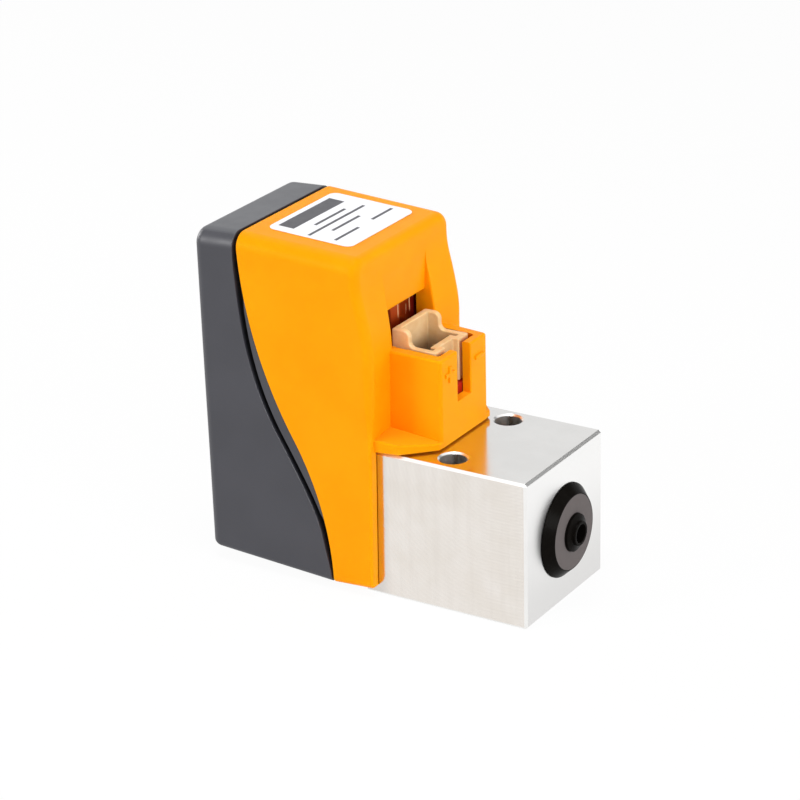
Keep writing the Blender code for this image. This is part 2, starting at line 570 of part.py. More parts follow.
def make_armature():
    """Sliding armature on its axis empty, with the soft poppet and the return spring."""
    axis = bpy.data.objects.new("armature_axis", None)
    axis.location = (AXIS_X, 0.0, POPPET_BASE)
    bpy.context.scene.collection.objects.link(axis)
    bpy.context.view_layer.update()
    base = ARMATURE_BASE - POPPET_BASE
    top = base + ARMATURE_LENGTH
    cup = POPPET_THICKNESS + FIT_GAP
    cup_radius = POPPET_RADIUS + FIT_GAP
    profile = [(SPRING_BORE, top), (ARMATURE_RADIUS - HOLE_CHAMFER, top),
               (ARMATURE_RADIUS, top - HOLE_CHAMFER), (ARMATURE_RADIUS, base), (cup_radius, base),
               (cup_radius, cup), (0.0, cup), (0.0, top - SPRING_POCKET), (SPRING_BORE, top - SPRING_POCKET)]
    armature = turned("armature", profile, "magnetic_steel", (0.0, 0.0, 0.0))
    for side in (-1, 1):
        inner = ARMATURE_RADIUS - VENT_SLOT_DEPTH
        outer = ARMATURE_RADIUS + REACH
        slot = [(side * inner, -VENT_SLOT_WIDTH / 2.0), (side * outer, -VENT_SLOT_WIDTH / 2.0),
                (side * outer, VENT_SLOT_WIDTH / 2.0), (side * inner, VENT_SLOT_WIDTH / 2.0)]
        tool = prism(f"cut_vent_{side}", slot, base - REACH, top + REACH)
        tool.parent = axis
        cut(armature, tool)
    rim = POPPET_RADIUS - HOLE_CHAMFER
    disc = [(0.0, POPPET_THICKNESS), (POPPET_RADIUS, POPPET_THICKNESS), (POPPET_RADIUS, HOLE_CHAMFER),
            (rim, 0.0), (0.0, 0.0)]
    poppet = turned("poppet_seal", disc, "red_rubber", (0.0, 0.0, 0.0), segments=24)
    for piece in (armature, poppet):
        piece.parent = axis
    make_spring()


def make_spring():
    """Return spring from the armature's pocket to the core's, with closed ends."""
    low = ARMATURE_TOP - SPRING_POCKET + SPRING_WIRE + SEAT_GAP
    high = CORE_BASE + SPRING_CAP_POCKET - SPRING_WIRE - SEAT_GAP
    steps_per_turn = 12
    count = SPRING_TURNS * steps_per_turn
    rise_of_middle = high - low - 2.0 * SPRING_END_PITCH
    points = []
    for k in range(count + 1):
        turns = k / steps_per_turn
        rise = min(max(turns - 1.0, 0.0), SPRING_TURNS - 2.0) / (SPRING_TURNS - 2.0)
        ends = min(turns, 1.0) + min(max(turns - (SPRING_TURNS - 1.0), 0.0), 1.0)
        z = low + SPRING_END_PITCH * ends + rise_of_middle * rise
        angle = math.tau * turns
        points.append((AXIS_X + SPRING_RADIUS * math.cos(angle), SPRING_RADIUS * math.sin(angle), z))
    wire("return_spring", points, SPRING_WIRE, "spring_steel")


def make_coil():
    """Bobbin and its taped winding."""
    hub = BOBBIN_BORE + BOBBIN_WALL
    low, high = BOBBIN_BASE, BOBBIN_TOP
    rim = BOBBIN_FLANGE_RADIUS
    profile = [(BOBBIN_BORE, high), (rim, high), (rim, high - BOBBIN_FLANGE), (hub, high - BOBBIN_FLANGE),
               (hub, low + BOBBIN_FLANGE), (rim, low + BOBBIN_FLANGE), (rim, low), (BOBBIN_BORE, low)]
    turned("bobbin", profile, "bobbin_nylon", (AXIS_X, 0.0, 0.0), segments=40)
    inner = hub + FIT_GAP
    bottom, top = low + BOBBIN_FLANGE + SEAT_GAP, high - BOBBIN_FLANGE - SEAT_GAP
    shoulder = WINDING_RADIUS - WINDING_SHOULDER
    slope = WINDING_SHOULDER_HEIGHT
    coil = [(inner, top), (shoulder, top), (WINDING_RADIUS, top - slope), (WINDING_RADIUS, bottom + slope),
            (shoulder, bottom), (inner, bottom)]
    turned("coil_winding", coil, "coil_tape", (AXIS_X, 0.0, 0.0), segments=40)


def make_flux_path():
    """Lower flux plate with its four countersunk screws, the bent frame and its nut."""
    half = PLATE_SIDE / 2.0
    corners = [(AXIS_X - half, -half), (AXIS_X + half, -half), (AXIS_X + half, half), (AXIS_X - half, half)]
    plate = prism("flux_plate", corners, PLATE_BASE, PLATE_TOP, "zinc_steel")
    soften(plate, HOLE_CHAMFER)
    cut(plate, rod("cut_plate_bore", BOBBIN_BORE, (PLATE_BASE - REACH, PLATE_TOP + REACH),
                   (AXIS_X, 0.0), 32))
    slope = PLATE_SCREW_HEAD - PLATE_SCREW_RADIUS
    thread, hole = PLATE_SCREW_RADIUS, PLATE_SCREW_RADIUS + FIT_GAP
    below, end = -PLATE_THICKNESS - REACH, -PLATE_SCREW_LENGTH
    for index, (x, y) in enumerate(plate_screw_places()):
        sink = [(0.0, REACH), (PLATE_SCREW_HEAD + FIT_GAP + REACH, REACH), (hole, -slope), (hole, below),
                (0.0, below)]
        cut(plate, turned(f"cut_sink_{index}", sink, None, (x, y, PLATE_TOP), segments=20))
        screw = [(0.0, -PLATE_SCREW_SOCKET_DEPTH), (PLATE_SCREW_SOCKET, -PLATE_SCREW_SOCKET_DEPTH),
                 (PLATE_SCREW_SOCKET, 0.0), (PLATE_SCREW_HEAD, 0.0), (thread, -slope),
                 (thread, end + HOLE_CHAMFER), (thread - HOLE_CHAMFER, end), (0.0, end)]
        turned(f"plate_screw_{index + 1}", screw, "stainless", (x, y, PLATE_TOP - SEAT_GAP / 2.0),
               segments=12)
    make_frame()
    make_nut()


def make_nut():
    """Chamfered hexagon nut on the core's stud."""
    nut_low = FRAME_TOP + FRAME_TOP_THICKNESS + SEAT_GAP
    hex_radius = NUT_ACROSS_FLATS / math.sqrt(3.0)
    nut = turned("core_nut", [(STUD_RADIUS + FIT_GAP, nut_low + NUT_HEIGHT),
                              (hex_radius - NUT_CHAMFER, nut_low + NUT_HEIGHT),
                              (hex_radius, nut_low + NUT_HEIGHT - NUT_CHAMFER),
                              (hex_radius, nut_low), (STUD_RADIUS + FIT_GAP, nut_low)],
                 "zinc_steel", (AXIS_X, 0.0, 0.0), segments=24)
    flats = [(AXIS_X + hex_radius * math.cos(math.tau * k / 6.0),
              hex_radius * math.sin(math.tau * k / 6.0)) for k in range(6)]
    hexagon = prism("trim_nut", flats, nut_low - REACH, nut_low + NUT_HEIGHT + REACH)
    combine(nut, hexagon, "INTERSECT")


def make_frame():
    """Flux frame: one strip bent down on both sides of the coil."""
    inner, outer = LEG_INNER, LEG_OUTER
    low, under, over = PLATE_BASE, FRAME_TOP, FRAME_TOP + FRAME_TOP_THICKNESS
    x = AXIS_X - FRAME_WIDTH / 2.0
    bend = [(math.cos(math.pi / 2.0 * k / 4.0), math.sin(math.pi / 2.0 * k / 4.0)) for k in range(5)]
    arc = [(outer - FRAME_BEND * (1.0 - c), over - FRAME_BEND * (1.0 - s)) for c, s in bend]
    right = [(inner, under), (inner, low), (outer, low)] + arc
    section = right + [(-y, z) for y, z in reversed(right)]
    bm = bmesh.new()
    face = bm.faces.new([bm.verts.new((x, y, z)) for y, z in section])
    grown = bmesh.ops.extrude_face_region(bm, geom=[face])
    far = [item for item in grown["geom"] if isinstance(item, bmesh.types.BMVert)]
    bmesh.ops.translate(bm, vec=(FRAME_WIDTH, 0, 0), verts=far)
    frame = mesh_object("flux_frame", bm, "zinc_steel")
    hole = rod("cut_stud_hole", STUD_RADIUS + FIT_GAP, (under - REACH, over + REACH), (AXIS_X, 0.0), 24)
    cut(frame, hole)


def make_terminals():
    """Terminal board, shrouded header, its two pins and the coil's lead-outs."""
    half = POCKET_HALF_WIDTH - COVER_GAP
    board = block("terminal_board", (POCKET_INSIDE + COVER_GAP, BOARD_END), half, (BOARD_BASE, BOARD_TOP),
                  "board_red")
    make_header()
    through = (BOARD_BASE - REACH, BOARD_TOP + REACH)
    lead_x = FRONT_X - BOARD_END + LEAD_INSET
    for index, side in enumerate((-1, 1)):
        pin_y = side * PIN_PITCH / 2.0
        cut(board, rod(f"cut_board_pin_{index}", PIN_HOLE_RADIUS, through, (PIN_X, pin_y), 12))
        make_pin(f"header_pin_{index + 1}", PIN_X, pin_y)
        lead_y = side * PIN_PITCH
        cut(board, rod(f"cut_board_lead_{index}", LEAD_RADIUS + FIT_GAP, through, (lead_x, lead_y), 10))
        make_lead(f"coil_lead_{index + 1}", lead_x, lead_y)


def make_lead(name, x, y):
    """Lead-out from the board's top, down and back to the rim of the bobbin's lower flange."""
    rim = AXIS_X + math.sqrt(BOBBIN_FLANGE_RADIUS ** 2 - y * y)
    end = rim + SEAT_GAP + LEAD_RADIUS / 2.0
    level = BOBBIN_BASE + BOBBIN_FLANGE / 2.0
    bend = min(LEAD_INSET, (x - end) / 2.0)
    run = [(x, y, BOARD_TOP + LEAD_TAIL), (x, y, level + bend), (x - bend, y, level), (end, y, level)]
    wire(name, run, LEAD_RADIUS, "tinned_brass")


def make_pin(name, x, y):
    """Square pin with tapered ends, through the header's floor and the board."""
    half, tip = PIN_SIDE / 2.0, PIN_SIDE / 4.0
    low, high = BOARD_BASE - PIN_TAIL, HEADER_BASE + PIN_TOP
    levels = [(low, tip), (low + PIN_SIDE, half), (high - PIN_SIDE, half), (high, tip)]
    profile = [(0.0, high)] + [(r * math.sqrt(2.0), z) for z, r in reversed(levels)] + [(0.0, low)]
    pin = turned(name, profile, "tinned_brass", (0.0, 0.0, 0.0), segments=4)
    pin.data.transform(Matrix.Translation((x, y, 0.0)) @ Matrix.Rotation(math.radians(45.0), 4, "Z"))


def make_header():
    """Shrouded two-way header: tall back with rounded ears, low front with a key."""
    front, back = FRONT_X - HEADER_FRONT, FRONT_X - HEADER_FRONT - HEADER_LENGTH
    low = HEADER_BASE
    ledge, top = HEADER_LEDGE, low + HEADER_BACK_HEIGHT
    ear = back + HEADER_EAR_LENGTH
    r = HEADER_EAR_RADIUS
    quarter = [math.pi / 2.0 * k / 3.0 for k in range(4)]
    crown = [(ear - r + r * math.sin(a), top - r + r * math.cos(a)) for a in quarter]
    foot = [(ear + r - r * math.cos(a), ledge + r - r * math.sin(a)) for a in quarter]
    side = [(back, low), (back, top)] + crown + foot + [(front, ledge), (front, low)]
    header = side_prism("header_housing", side, HEADER_WIDTH / 2.0, "header_nylon")
    w, key, step = HEADER_WALL, HEADER_KEY_WIDTH / 2.0, HEADER_KEY_STEP
    wide = HEADER_WIDTH / 2.0 - w
    plan = [(back + w, -wide), (front - w, -wide), (front - w, -key - w), (front - w - step, -key - w),
            (front - w - step, key + w), (front - w, key + w), (front - w, wide), (back + w, wide)]
    cut(header, prism("cut_header_cavity", plan, low + HEADER_FLOOR, top + REACH))
    notch = [(front - step, -key), (front + REACH, -key), (front + REACH, key), (front - step, key)]
    cut(header, prism("cut_header_key", notch, low - REACH, top + REACH))
    for side_sign in (-1, 1):
        hole = rod(f"cut_header_pin_{side_sign}", PIN_HOLE_RADIUS, (low - REACH, low + HEADER_FLOOR + REACH),
                   (PIN_X, side_sign * PIN_PITCH / 2.0), 12)
        cut(header, hole)


def split_turn(rise):
    """Run along X of the S line's arc, from its inflection to a rise above or below it."""
    tilt = math.atan(SPLIT_SLOPE)
    radius = SPLIT_UPPER_RADIUS if rise > 0.0 else SPLIT_LOWER_RADIUS
    sine = max(math.sin(tilt) - abs(rise) / radius, 0.0)
    run = radius * (math.sqrt(1.0 - sine * sine) - math.cos(tilt))
    return run if rise > 0.0 else -run


def split_depth(z):
    """Depth of the front moulding's edge: two tangent arcs that make an S."""
    return SPLIT_DEPTH - split_turn(HOUSING_TOP - SPLIT_HEIGHT) + split_turn(z - SPLIT_HEIGHT)


def lens(z):
    """One at the middle of the bare strip, falling smoothly to nothing at its ends."""
    span = STRIP_RISE if z > STRIP_HEIGHT else STRIP_DROP
    far = min(abs(z - STRIP_HEIGHT) / span, 1.0)
    return (1.0 - far * far) ** 2


def groove_edges(z):
    """Depths of the strip's rear edge and of the rear moulding's visible edge."""
    strip = split_depth(z) + STRIP_STEP + STRIP_WIDTH * lens(z)
    foot = 1.0 - smooth(z, HOUSING_BOTTOM, HOUSING_BOTTOM + GROOVE_FADE)
    top = smooth(z, HOUSING_TOP - GROOVE_FADE, HOUSING_TOP)
    narrowing = (GROOVE_WIDTH - GROOVE_FOOT_WIDTH) * foot + (GROOVE_WIDTH - GROOVE_TOP_WIDTH) * top
    return strip, strip + GROOVE_WIDTH - narrowing


def smooth(value, start, end):
    """Ease from nothing at start to one at end."""
    t = min(max((value - start) / (end - start), 0.0), 1.0)
    return t * t * (3.0 - 2.0 * t)


def front_depth(z):
    """Depth of the front face: a slight lean, and the flare under the top edge."""
    lean = FRONT_LEAN * (z - HOUSING_BOTTOM) / (FLARE_START - HOUSING_BOTTOM)
    return FRONT_FOOT_DEPTH + lean + FLARE * smooth(z, FLARE_START, FLARE_END)


def front_edge_radius(z):
    """Radius of the front face's rounded edge: crisp beside the block, soft above it."""
    growth = smooth(z, BODY_HEIGHT - EDGE_GROWTH_BELOW, BODY_HEIGHT + EDGE_GROWTH_ABOVE)
    return FOOT_EDGE_RADIUS + (CHEEK_EDGE_RADIUS - FOOT_EDGE_RADIUS) * growth


def rear_depth(z):
    """Depth of the rear face, which leans forward towards the base."""
    return HOUSING_DEPTH - REAR_LEAN * (HOUSING_TOP - z) / (HOUSING_TOP - HOUSING_BOTTOM)


Spot = namedtuple("Spot", "y z radius out_y out_z side rise level")


def corner(y, z, radius, start, steps):
    """Spots of a quarter turn about the centre (y, z) of a corner on the right side."""
    rise = -1.0 if start < 0.0 else 1.0
    turn = [start + math.pi / 2.0 * k / steps for k in range(steps + 1)]
    return [Spot(y, z, radius, math.cos(a), math.sin(a), 1.0, rise, z + radius * math.sin(a))
            for a in turn]


def outline():
    """Spots round the housing's section, from the bottom up the right side and down the left."""
    half = HOUSING_WIDTH / 2.0
    low = corner(half - BOTTOM_EDGE_RADIUS, HOUSING_BOTTOM + BOTTOM_EDGE_RADIUS, BOTTOM_EDGE_RADIUS,
                 -math.pi / 2.0, 2)
    high = corner(half - TOP_EDGE_RADIUS, HOUSING_TOP - TOP_EDGE_RADIUS, TOP_EDGE_RADIUS, 0.0, 5)
    rows = 18
    start, end = low[-1].level, high[0].level
    levels = [start + (end - start) * k / rows for k in range(1, rows)]
    right = low + [Spot(half, z, 0.0, 1.0, 0.0, 1.0, 0.0, z) for z in levels] + high
    return right + [spot._replace(y=-spot.y, out_y=-spot.out_y, side=-1.0) for spot in reversed(right)]


def section_point(spot, depth, inset):
    """Move a spot to a depth, inwards by the draft and by the inset.

    A corner's radius shrinks with the inset until it is nearly sharp, and then its centre moves.
    """
    away = abs(depth - split_depth(spot.level))
    radius = max(spot.radius - inset, SHARPEST) if spot.radius > 0.0 else 0.0
    shift = inset - (spot.radius - radius)
    y = spot.y - spot.side * (away * math.tan(SIDE_DRAFT) + shift) + spot.out_y * radius
    z = spot.z - spot.rise * (away * math.tan(TOP_DRAFT) + shift) + spot.out_z * radius
    return Vector((FRONT_X - depth, y, z))


def loft(name, rings, finish):
    """Bridge rings of equal count into one closed skin, capped level by level at both ends."""
    bm = bmesh.new()
    made = [[bm.verts.new(point) for point in ring] for ring in rings]
    count = len(made[0])
    for near, far in zip(made, made[1:]):
        for k in range(count):
            bm.faces.new((near[k - 1], near[k], far[k], far[k - 1]))
    for ring in (made[0], made[-1]):
        for k in range(count // 2 - 1):
            bm.faces.new((ring[k], ring[k + 1], ring[count - 2 - k], ring[count - 1 - k]))
    return mesh_object(name, bm, finish, smooth_angle=32)


def ring(depth_at, inset_at):
    """One ring of the housing: each spot at its level's depth and inset."""
    return [section_point(spot, depth_at(spot.level), inset_at(spot.level)) for spot in outline()]


def shell_end(end_depth, radius_at, forward):
    """Rings over the rounded outer end face, then rings over the inner one.

    The number forward is +1 for an end in front of the split and -1 for one behind it.
    """
    steps = 4
    outer, inner = [], []
    for k in range(steps + 1):
        angle = math.pi / 2.0 * k / steps
        drop, turn = 1.0 - math.sin(angle), 1.0 - math.cos(angle)
        for rings, wall, share in ((outer, 0.0, 1.0), (inner, HOUSING_WALL, INNER_ROUND)):
            rings.append(ring(lambda z: end_depth(z) + forward * (wall + share * radius_at(z) * drop),
                              lambda z: wall + share * radius_at(z) * turn))
    return outer[::-1], inner[::2]


def make_rear_cover():
    """Grey rear moulding: visible edge, shadow groove, bare strip, and the lip under the front one."""
    outer, inner = shell_end(rear_depth, lambda z: REAR_EDGE_RADIUS, -1.0)

    def strip_inset(z):
        share = smooth(STRIP_WIDTH * lens(z), 0.0, GROOVE_WIDTH / 2.0)
        return GROOVE_DEPTH - STEP_SLANT - (GROOVE_DEPTH - STRIP_STEP - STEP_SLANT) * share

    def strip_front(z):
        return split_depth(z) + STRIP_STEP / 2.0

    steps = [
        (lambda z: groove_edges(z)[1], lambda z: 0.0),
        (lambda z: groove_edges(z)[1] - STEP_SLANT, lambda z: GROOVE_DEPTH),
        (lambda z: groove_edges(z)[0], lambda z: GROOVE_DEPTH),
        (lambda z: groove_edges(z)[0] - STEP_SLANT, strip_inset),
        (strip_front, strip_inset),
        (lambda z: strip_front(z) - STEP_SLANT, lambda z: LIP_STEP + STRIP_STEP),
        (lambda z: split_depth(z) - LIP_REACH, lambda z: LIP_STEP + STRIP_STEP),
        (lambda z: split_depth(z) - LIP_REACH, lambda z: HOUSING_WALL),
    ]
    rings = outer + [ring(depth_at, inset_at) for depth_at, inset_at in steps] + inner
    cover = loft("rear_cover", rings, "grey_moulding")
    half = TONGUE_WIDTH / 2.0 + COVER_GAP
    cut(cover, block("cut_rear_tongue", (HEAD_LENGTH - REACH, TONGUE_END + COVER_GAP), half,
                     (-REACH, BODY_HEIGHT / 2.0)))
    return cover


def make_front_cover():
    """Orange front moulding: cheeks, panel, window, connector pocket and its shelf."""
    outer, inner = shell_end(front_depth, front_edge_radius, 1.0)
    rebate = LIP_STEP + STRIP_STEP - COVER_GAP
    rebate_end = LIP_REACH + COVER_GAP
    steps = [
        (split_depth, lambda z: 0.0),
        (split_depth, lambda z: rebate),
        (lambda z: split_depth(z) - rebate_end, lambda z: rebate),
        (lambda z: split_depth(z) - rebate_end - STEP_SLANT, lambda z: HOUSING_WALL),
    ]
    rings = outer + [ring(depth_at, inset_at) for depth_at, inset_at in steps] + inner
    cover = loft("front_cover", [tilted_face(outer[0])] + rings, "orange_moulding")
    add_panel(cover)
    add_pocket(cover)
    cut_block_clearance(cover)
    return cover


def tilted_face(border):
    """Ring inside the front face's border, set back where the recess begins but not at the top."""
    middle = (HOUSING_TOP + HOUSING_BOTTOM) / 2.0
    points = []
    for point in border:
        z = middle + (point.z - middle) * FACE_HEIGHT
        tilt = FACE_TILT * (1.0 - smooth(z, FLARE_START, FLARE_END))
        points.append(Vector((point.x - tilt, math.copysign(RECESS_HALF_WIDTH, point.y), z)))
    return points


def add_panel(cover):
    """Set the flat panel back between the cheeks, with the window under it."""
    face = FRONT_X - PANEL_DEPTH
    back, beyond = face - HOUSING_WALL, face - HOUSING_WALL - REACH
    low, top = POCKET_TOP - REACH, HOUSING_TOP - HOUSING_WALL - PANEL_UNDER_TOP
    levels = [low + (top - low) * k / 4.0 for k in range(5)]
    front = [(FRONT_X - front_depth(z) - HOUSING_WALL / 2.0, z) for z in levels]
    panel = [(back, low)] + front + [(back, top)]
    join(cover, side_prism("join_panel", panel, RECESS_HALF_WIDTH + HOUSING_WALL))
    sill, ahead = POCKET_TOP + POCKET_RISE, FRONT_X - FRONT_FOOT_DEPTH + REACH
    space = [(beyond, sill), (ahead, sill), (ahead, HOUSING_TOP), (face + PANEL_LEAN, HOUSING_TOP),
             (face, WINDOW_TOP), (beyond, WINDOW_TOP)]
    cut(cover, side_prism("cut_recess", space, RECESS_HALF_WIDTH))


def add_pocket(cover):
    """Add the connector pocket and the shelf that ties it to the cheeks."""
    half = POCKET_HALF_WIDTH
    outer_half = half + POCKET_WALL
    back = PANEL_DEPTH + HOUSING_WALL / 2.0
    pocket = block("join_pocket", (POCKET_DEPTH, back), outer_half, (SHELF_BASE, POCKET_TOP))
    spread_root(pocket, back, POCKET_SPREAD, POCKET_RISE)
    soften(pocket, POCKET_EDGE)
    join(cover, pocket)
    nose, bend, root = (FRONT_X - d for d in (POCKET_DEPTH, POCKET_DEPTH + SHELF_CORNER, back))
    right = [(root, HOUSING_WIDTH / 2.0 - SHELF_INSET), (bend, HOUSING_WIDTH / 2.0 - SHELF_CORNER_INSET),
             (nose, outer_half + SHELF_EAR)]
    plan = right + [(x, -y) for x, y in reversed(right)]
    shelf = prism("join_shelf", plan, SHELF_BASE, SHELF_BASE + SHELF_THICKNESS)
    spread_root(shelf, back, 0.0, SHELF_RISE)
    join(cover, shelf)
    inside = (POCKET_INSIDE, PANEL_DEPTH + HOUSING_WALL + REACH)
    ledge_top = BOARD_BASE - SEAT_GAP
    cut(cover, block("cut_pocket", inside, half, (ledge_top, POCKET_TOP + REACH)))
    cut(cover, block("cut_pocket_well", inside, half - LEDGE_WIDTH,
                     (SHELF_BASE + POCKET_FLOOR, ledge_top + REACH)))
    cut(cover, block("cut_pocket_slot", (POCKET_DEPTH - REACH, POCKET_INSIDE + REACH), SLOT_HALF_WIDTH,
                     (BOARD_BASE + SLOT_SILL, POCKET_TOP + REACH)))


def spread_root(piece, back, spread, rise):
    """Widen a piece and raise its top in proportion to the depth, by these sizes at its root."""
    low = min(vert.co.z for vert in piece.data.vertices)
    for vert in piece.data.vertices:
        share = (FRONT_X - POCKET_DEPTH - vert.co.x) / (back - POCKET_DEPTH)
        vert.co.y += math.copysign(spread * share, vert.co.y)
        if vert.co.z > low:
            vert.co.z += rise * share


def cut_block_clearance(cover):
    """Open the bottom and clear the block, with a lead-in bevel inside the side walls."""
    half = BODY_WIDTH / 2.0 + COVER_GAP
    cut(cover, block("cut_head", (-REACH, HEAD_LENGTH + COVER_GAP), half,
                     (-REACH, BODY_HEIGHT + COVER_GAP)))
    cut(cover, block("cut_tongue", (HEAD_LENGTH - REACH, TONGUE_END), TONGUE_WIDTH / 2.0 + COVER_GAP,
                     (-REACH, BODY_HEIGHT + COVER_GAP)))
    open_to = split_depth(HOUSING_BOTTOM) + REACH
    cut(cover, block("cut_floor", (HEAD_LENGTH - REACH, open_to), half,
                     (-REACH, HOUSING_BOTTOM + HOUSING_WALL + REACH)))
    for side in (-1, 1):
        cut(cover, lead_in_wedge(side, half, open_to))


def lead_in_wedge(side, half, open_to):
    """Cutter that slopes up inwards from the outer edge of a side wall's foot, along its draft."""
    edge = HOUSING_WIDTH / 2.0
    inner = half - REACH
    slope = FOOT_BEVEL / (edge - half)
    wedge = bmesh.new()
    ends = []
    for depth in (FRONT_FOOT_DEPTH - REACH, open_to):
        low = HOUSING_BOTTOM + abs(depth - split_depth(HOUSING_BOTTOM)) * math.tan(TOP_DRAFT)
        outline_points = [(inner, low + slope * (edge - inner)), (edge, low), (edge, low - REACH),
                          (inner, low - REACH)]
        ends.append([wedge.verts.new((FRONT_X - depth, side * y, z)) for y, z in outline_points])
    for k in range(4):
        wedge.faces.new((ends[0][k - 1], ends[0][k], ends[1][k], ends[1][k - 1]))
    wedge.faces.new(ends[0])
    wedge.faces.new(ends[1])
    return mesh_object(f"cut_lead_in_{side}", wedge, None)


def make_label():
    """Plain sticker on the front moulding's sloping top."""
    half_x, half_y, r = LABEL_LENGTH / 2.0, LABEL_WIDTH / 2.0, LABEL_CORNER
    points = []
    for index, (sx, sy) in enumerate(((1, 1), (-1, 1), (-1, -1), (1, -1))):
        for k in range(5):
            a = math.pi / 2.0 * (index + k / 4.0)
            points.append((sx * (half_x - r) + r * math.cos(a), sy * (half_y - r) + r * math.sin(a)))
    label = prism("label", points, 0.0, LABEL_THICKNESS, "label_white")
    height = HOUSING_TOP - LABEL_AHEAD * math.tan(TOP_DRAFT) + SEAT_GAP / 2.0
    label.location = (FRONT_X - SPLIT_DEPTH + LABEL_AHEAD, LABEL_OFFSET, height)
    label.rotation_euler = (0.0, TOP_DRAFT, 0.0)


clear_scene()
make_body()
make_port()
make_seals()
make_seat()
make_tube()
make_core()
make_armature()
make_coil()
make_flux_path()
make_terminals()
make_rear_cover()
make_front_cover()
make_label()
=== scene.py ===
# %% [markdown]
# This file dresses a small proportional solenoid valve. The solids that carry the construction
# are loaded first, as a fixed frame in metres with +Z up. Everything after that is finish: what
# the surfaces are made of, the finer shapes that catch the light, and a small studio.

# %% Load the frame
import json
import math
from collections import namedtuple

import bmesh
import bpy
import numpy as np
from mathutils import Matrix, Vector


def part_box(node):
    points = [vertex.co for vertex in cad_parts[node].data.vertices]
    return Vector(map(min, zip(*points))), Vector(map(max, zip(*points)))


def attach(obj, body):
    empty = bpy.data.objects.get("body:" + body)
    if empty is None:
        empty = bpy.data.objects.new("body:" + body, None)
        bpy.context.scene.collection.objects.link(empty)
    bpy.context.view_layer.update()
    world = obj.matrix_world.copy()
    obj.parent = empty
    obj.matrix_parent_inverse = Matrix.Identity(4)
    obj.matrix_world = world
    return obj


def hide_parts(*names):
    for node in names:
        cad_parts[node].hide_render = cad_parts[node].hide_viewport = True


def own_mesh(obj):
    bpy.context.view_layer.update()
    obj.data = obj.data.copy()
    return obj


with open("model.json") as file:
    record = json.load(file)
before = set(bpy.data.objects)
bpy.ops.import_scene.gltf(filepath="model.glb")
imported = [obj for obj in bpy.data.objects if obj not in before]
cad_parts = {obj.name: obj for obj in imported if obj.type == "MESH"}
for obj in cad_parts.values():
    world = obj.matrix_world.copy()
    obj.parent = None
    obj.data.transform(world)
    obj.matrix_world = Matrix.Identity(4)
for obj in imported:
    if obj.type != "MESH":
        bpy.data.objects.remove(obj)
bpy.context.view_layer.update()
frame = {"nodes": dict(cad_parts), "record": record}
MM = 0.001

# %% [markdown]
# Every finish below is a small piece of arithmetic on the place of a surface point. Node trees
# are hard to read as code, so one class wraps an output socket and turns plus, minus and times
# into Math nodes, and another one builds the tree of a material.


# %% Arithmetic on sockets
class Wire:
    """An output socket of a node tree, which can be added, scaled and compared like a number."""

    def __init__(self, paint, socket):
        self.paint = paint
        self.socket = socket

    def output(self, key):
        """Another output of the same node, by its place or its name."""
        return Wire(self.paint, self.socket.node.outputs[key])

    def maths(self, operation, *others):
        """A Math node with this wire first and the others after it."""
        return self.paint.node("ShaderNodeMath", {"operation": operation}, [self, *others])

    def __add__(self, other):
        return self.maths("ADD", other)

    def __sub__(self, other):
        return self.maths("SUBTRACT", other)

    def __rsub__(self, other):
        return self.paint.node("ShaderNodeMath", {"operation": "SUBTRACT"}, [other, self])

    def __mul__(self, other):
        return self.maths("MULTIPLY", other)

    def __pow__(self, other):
        return self.maths("POWER", other)

    def __abs__(self):
        return self.maths("ABSOLUTE")

    __radd__ = __add__
    __rmul__ = __mul__

    def sine(self):
        return self.maths("SINE")

    def root(self):
        return self.maths("SQRT")

    def most(self, other):
        return self.maths("MAXIMUM", other)

    def ramp(self, start, end, low=0.0, high=1.0):
        """Ease from low to high while the wire goes from start to end."""
        settings = {"interpolation_type": "SMOOTHSTEP"}
        return self.paint.node("ShaderNodeMapRange", settings, [self, start, end, low, high])

    def inside(self, middle, half, edge):
        """One where the wire is within half of the middle, with an edge that fades."""
        return abs(self - middle).ramp(half - edge, half + edge, 1.0, 0.0)


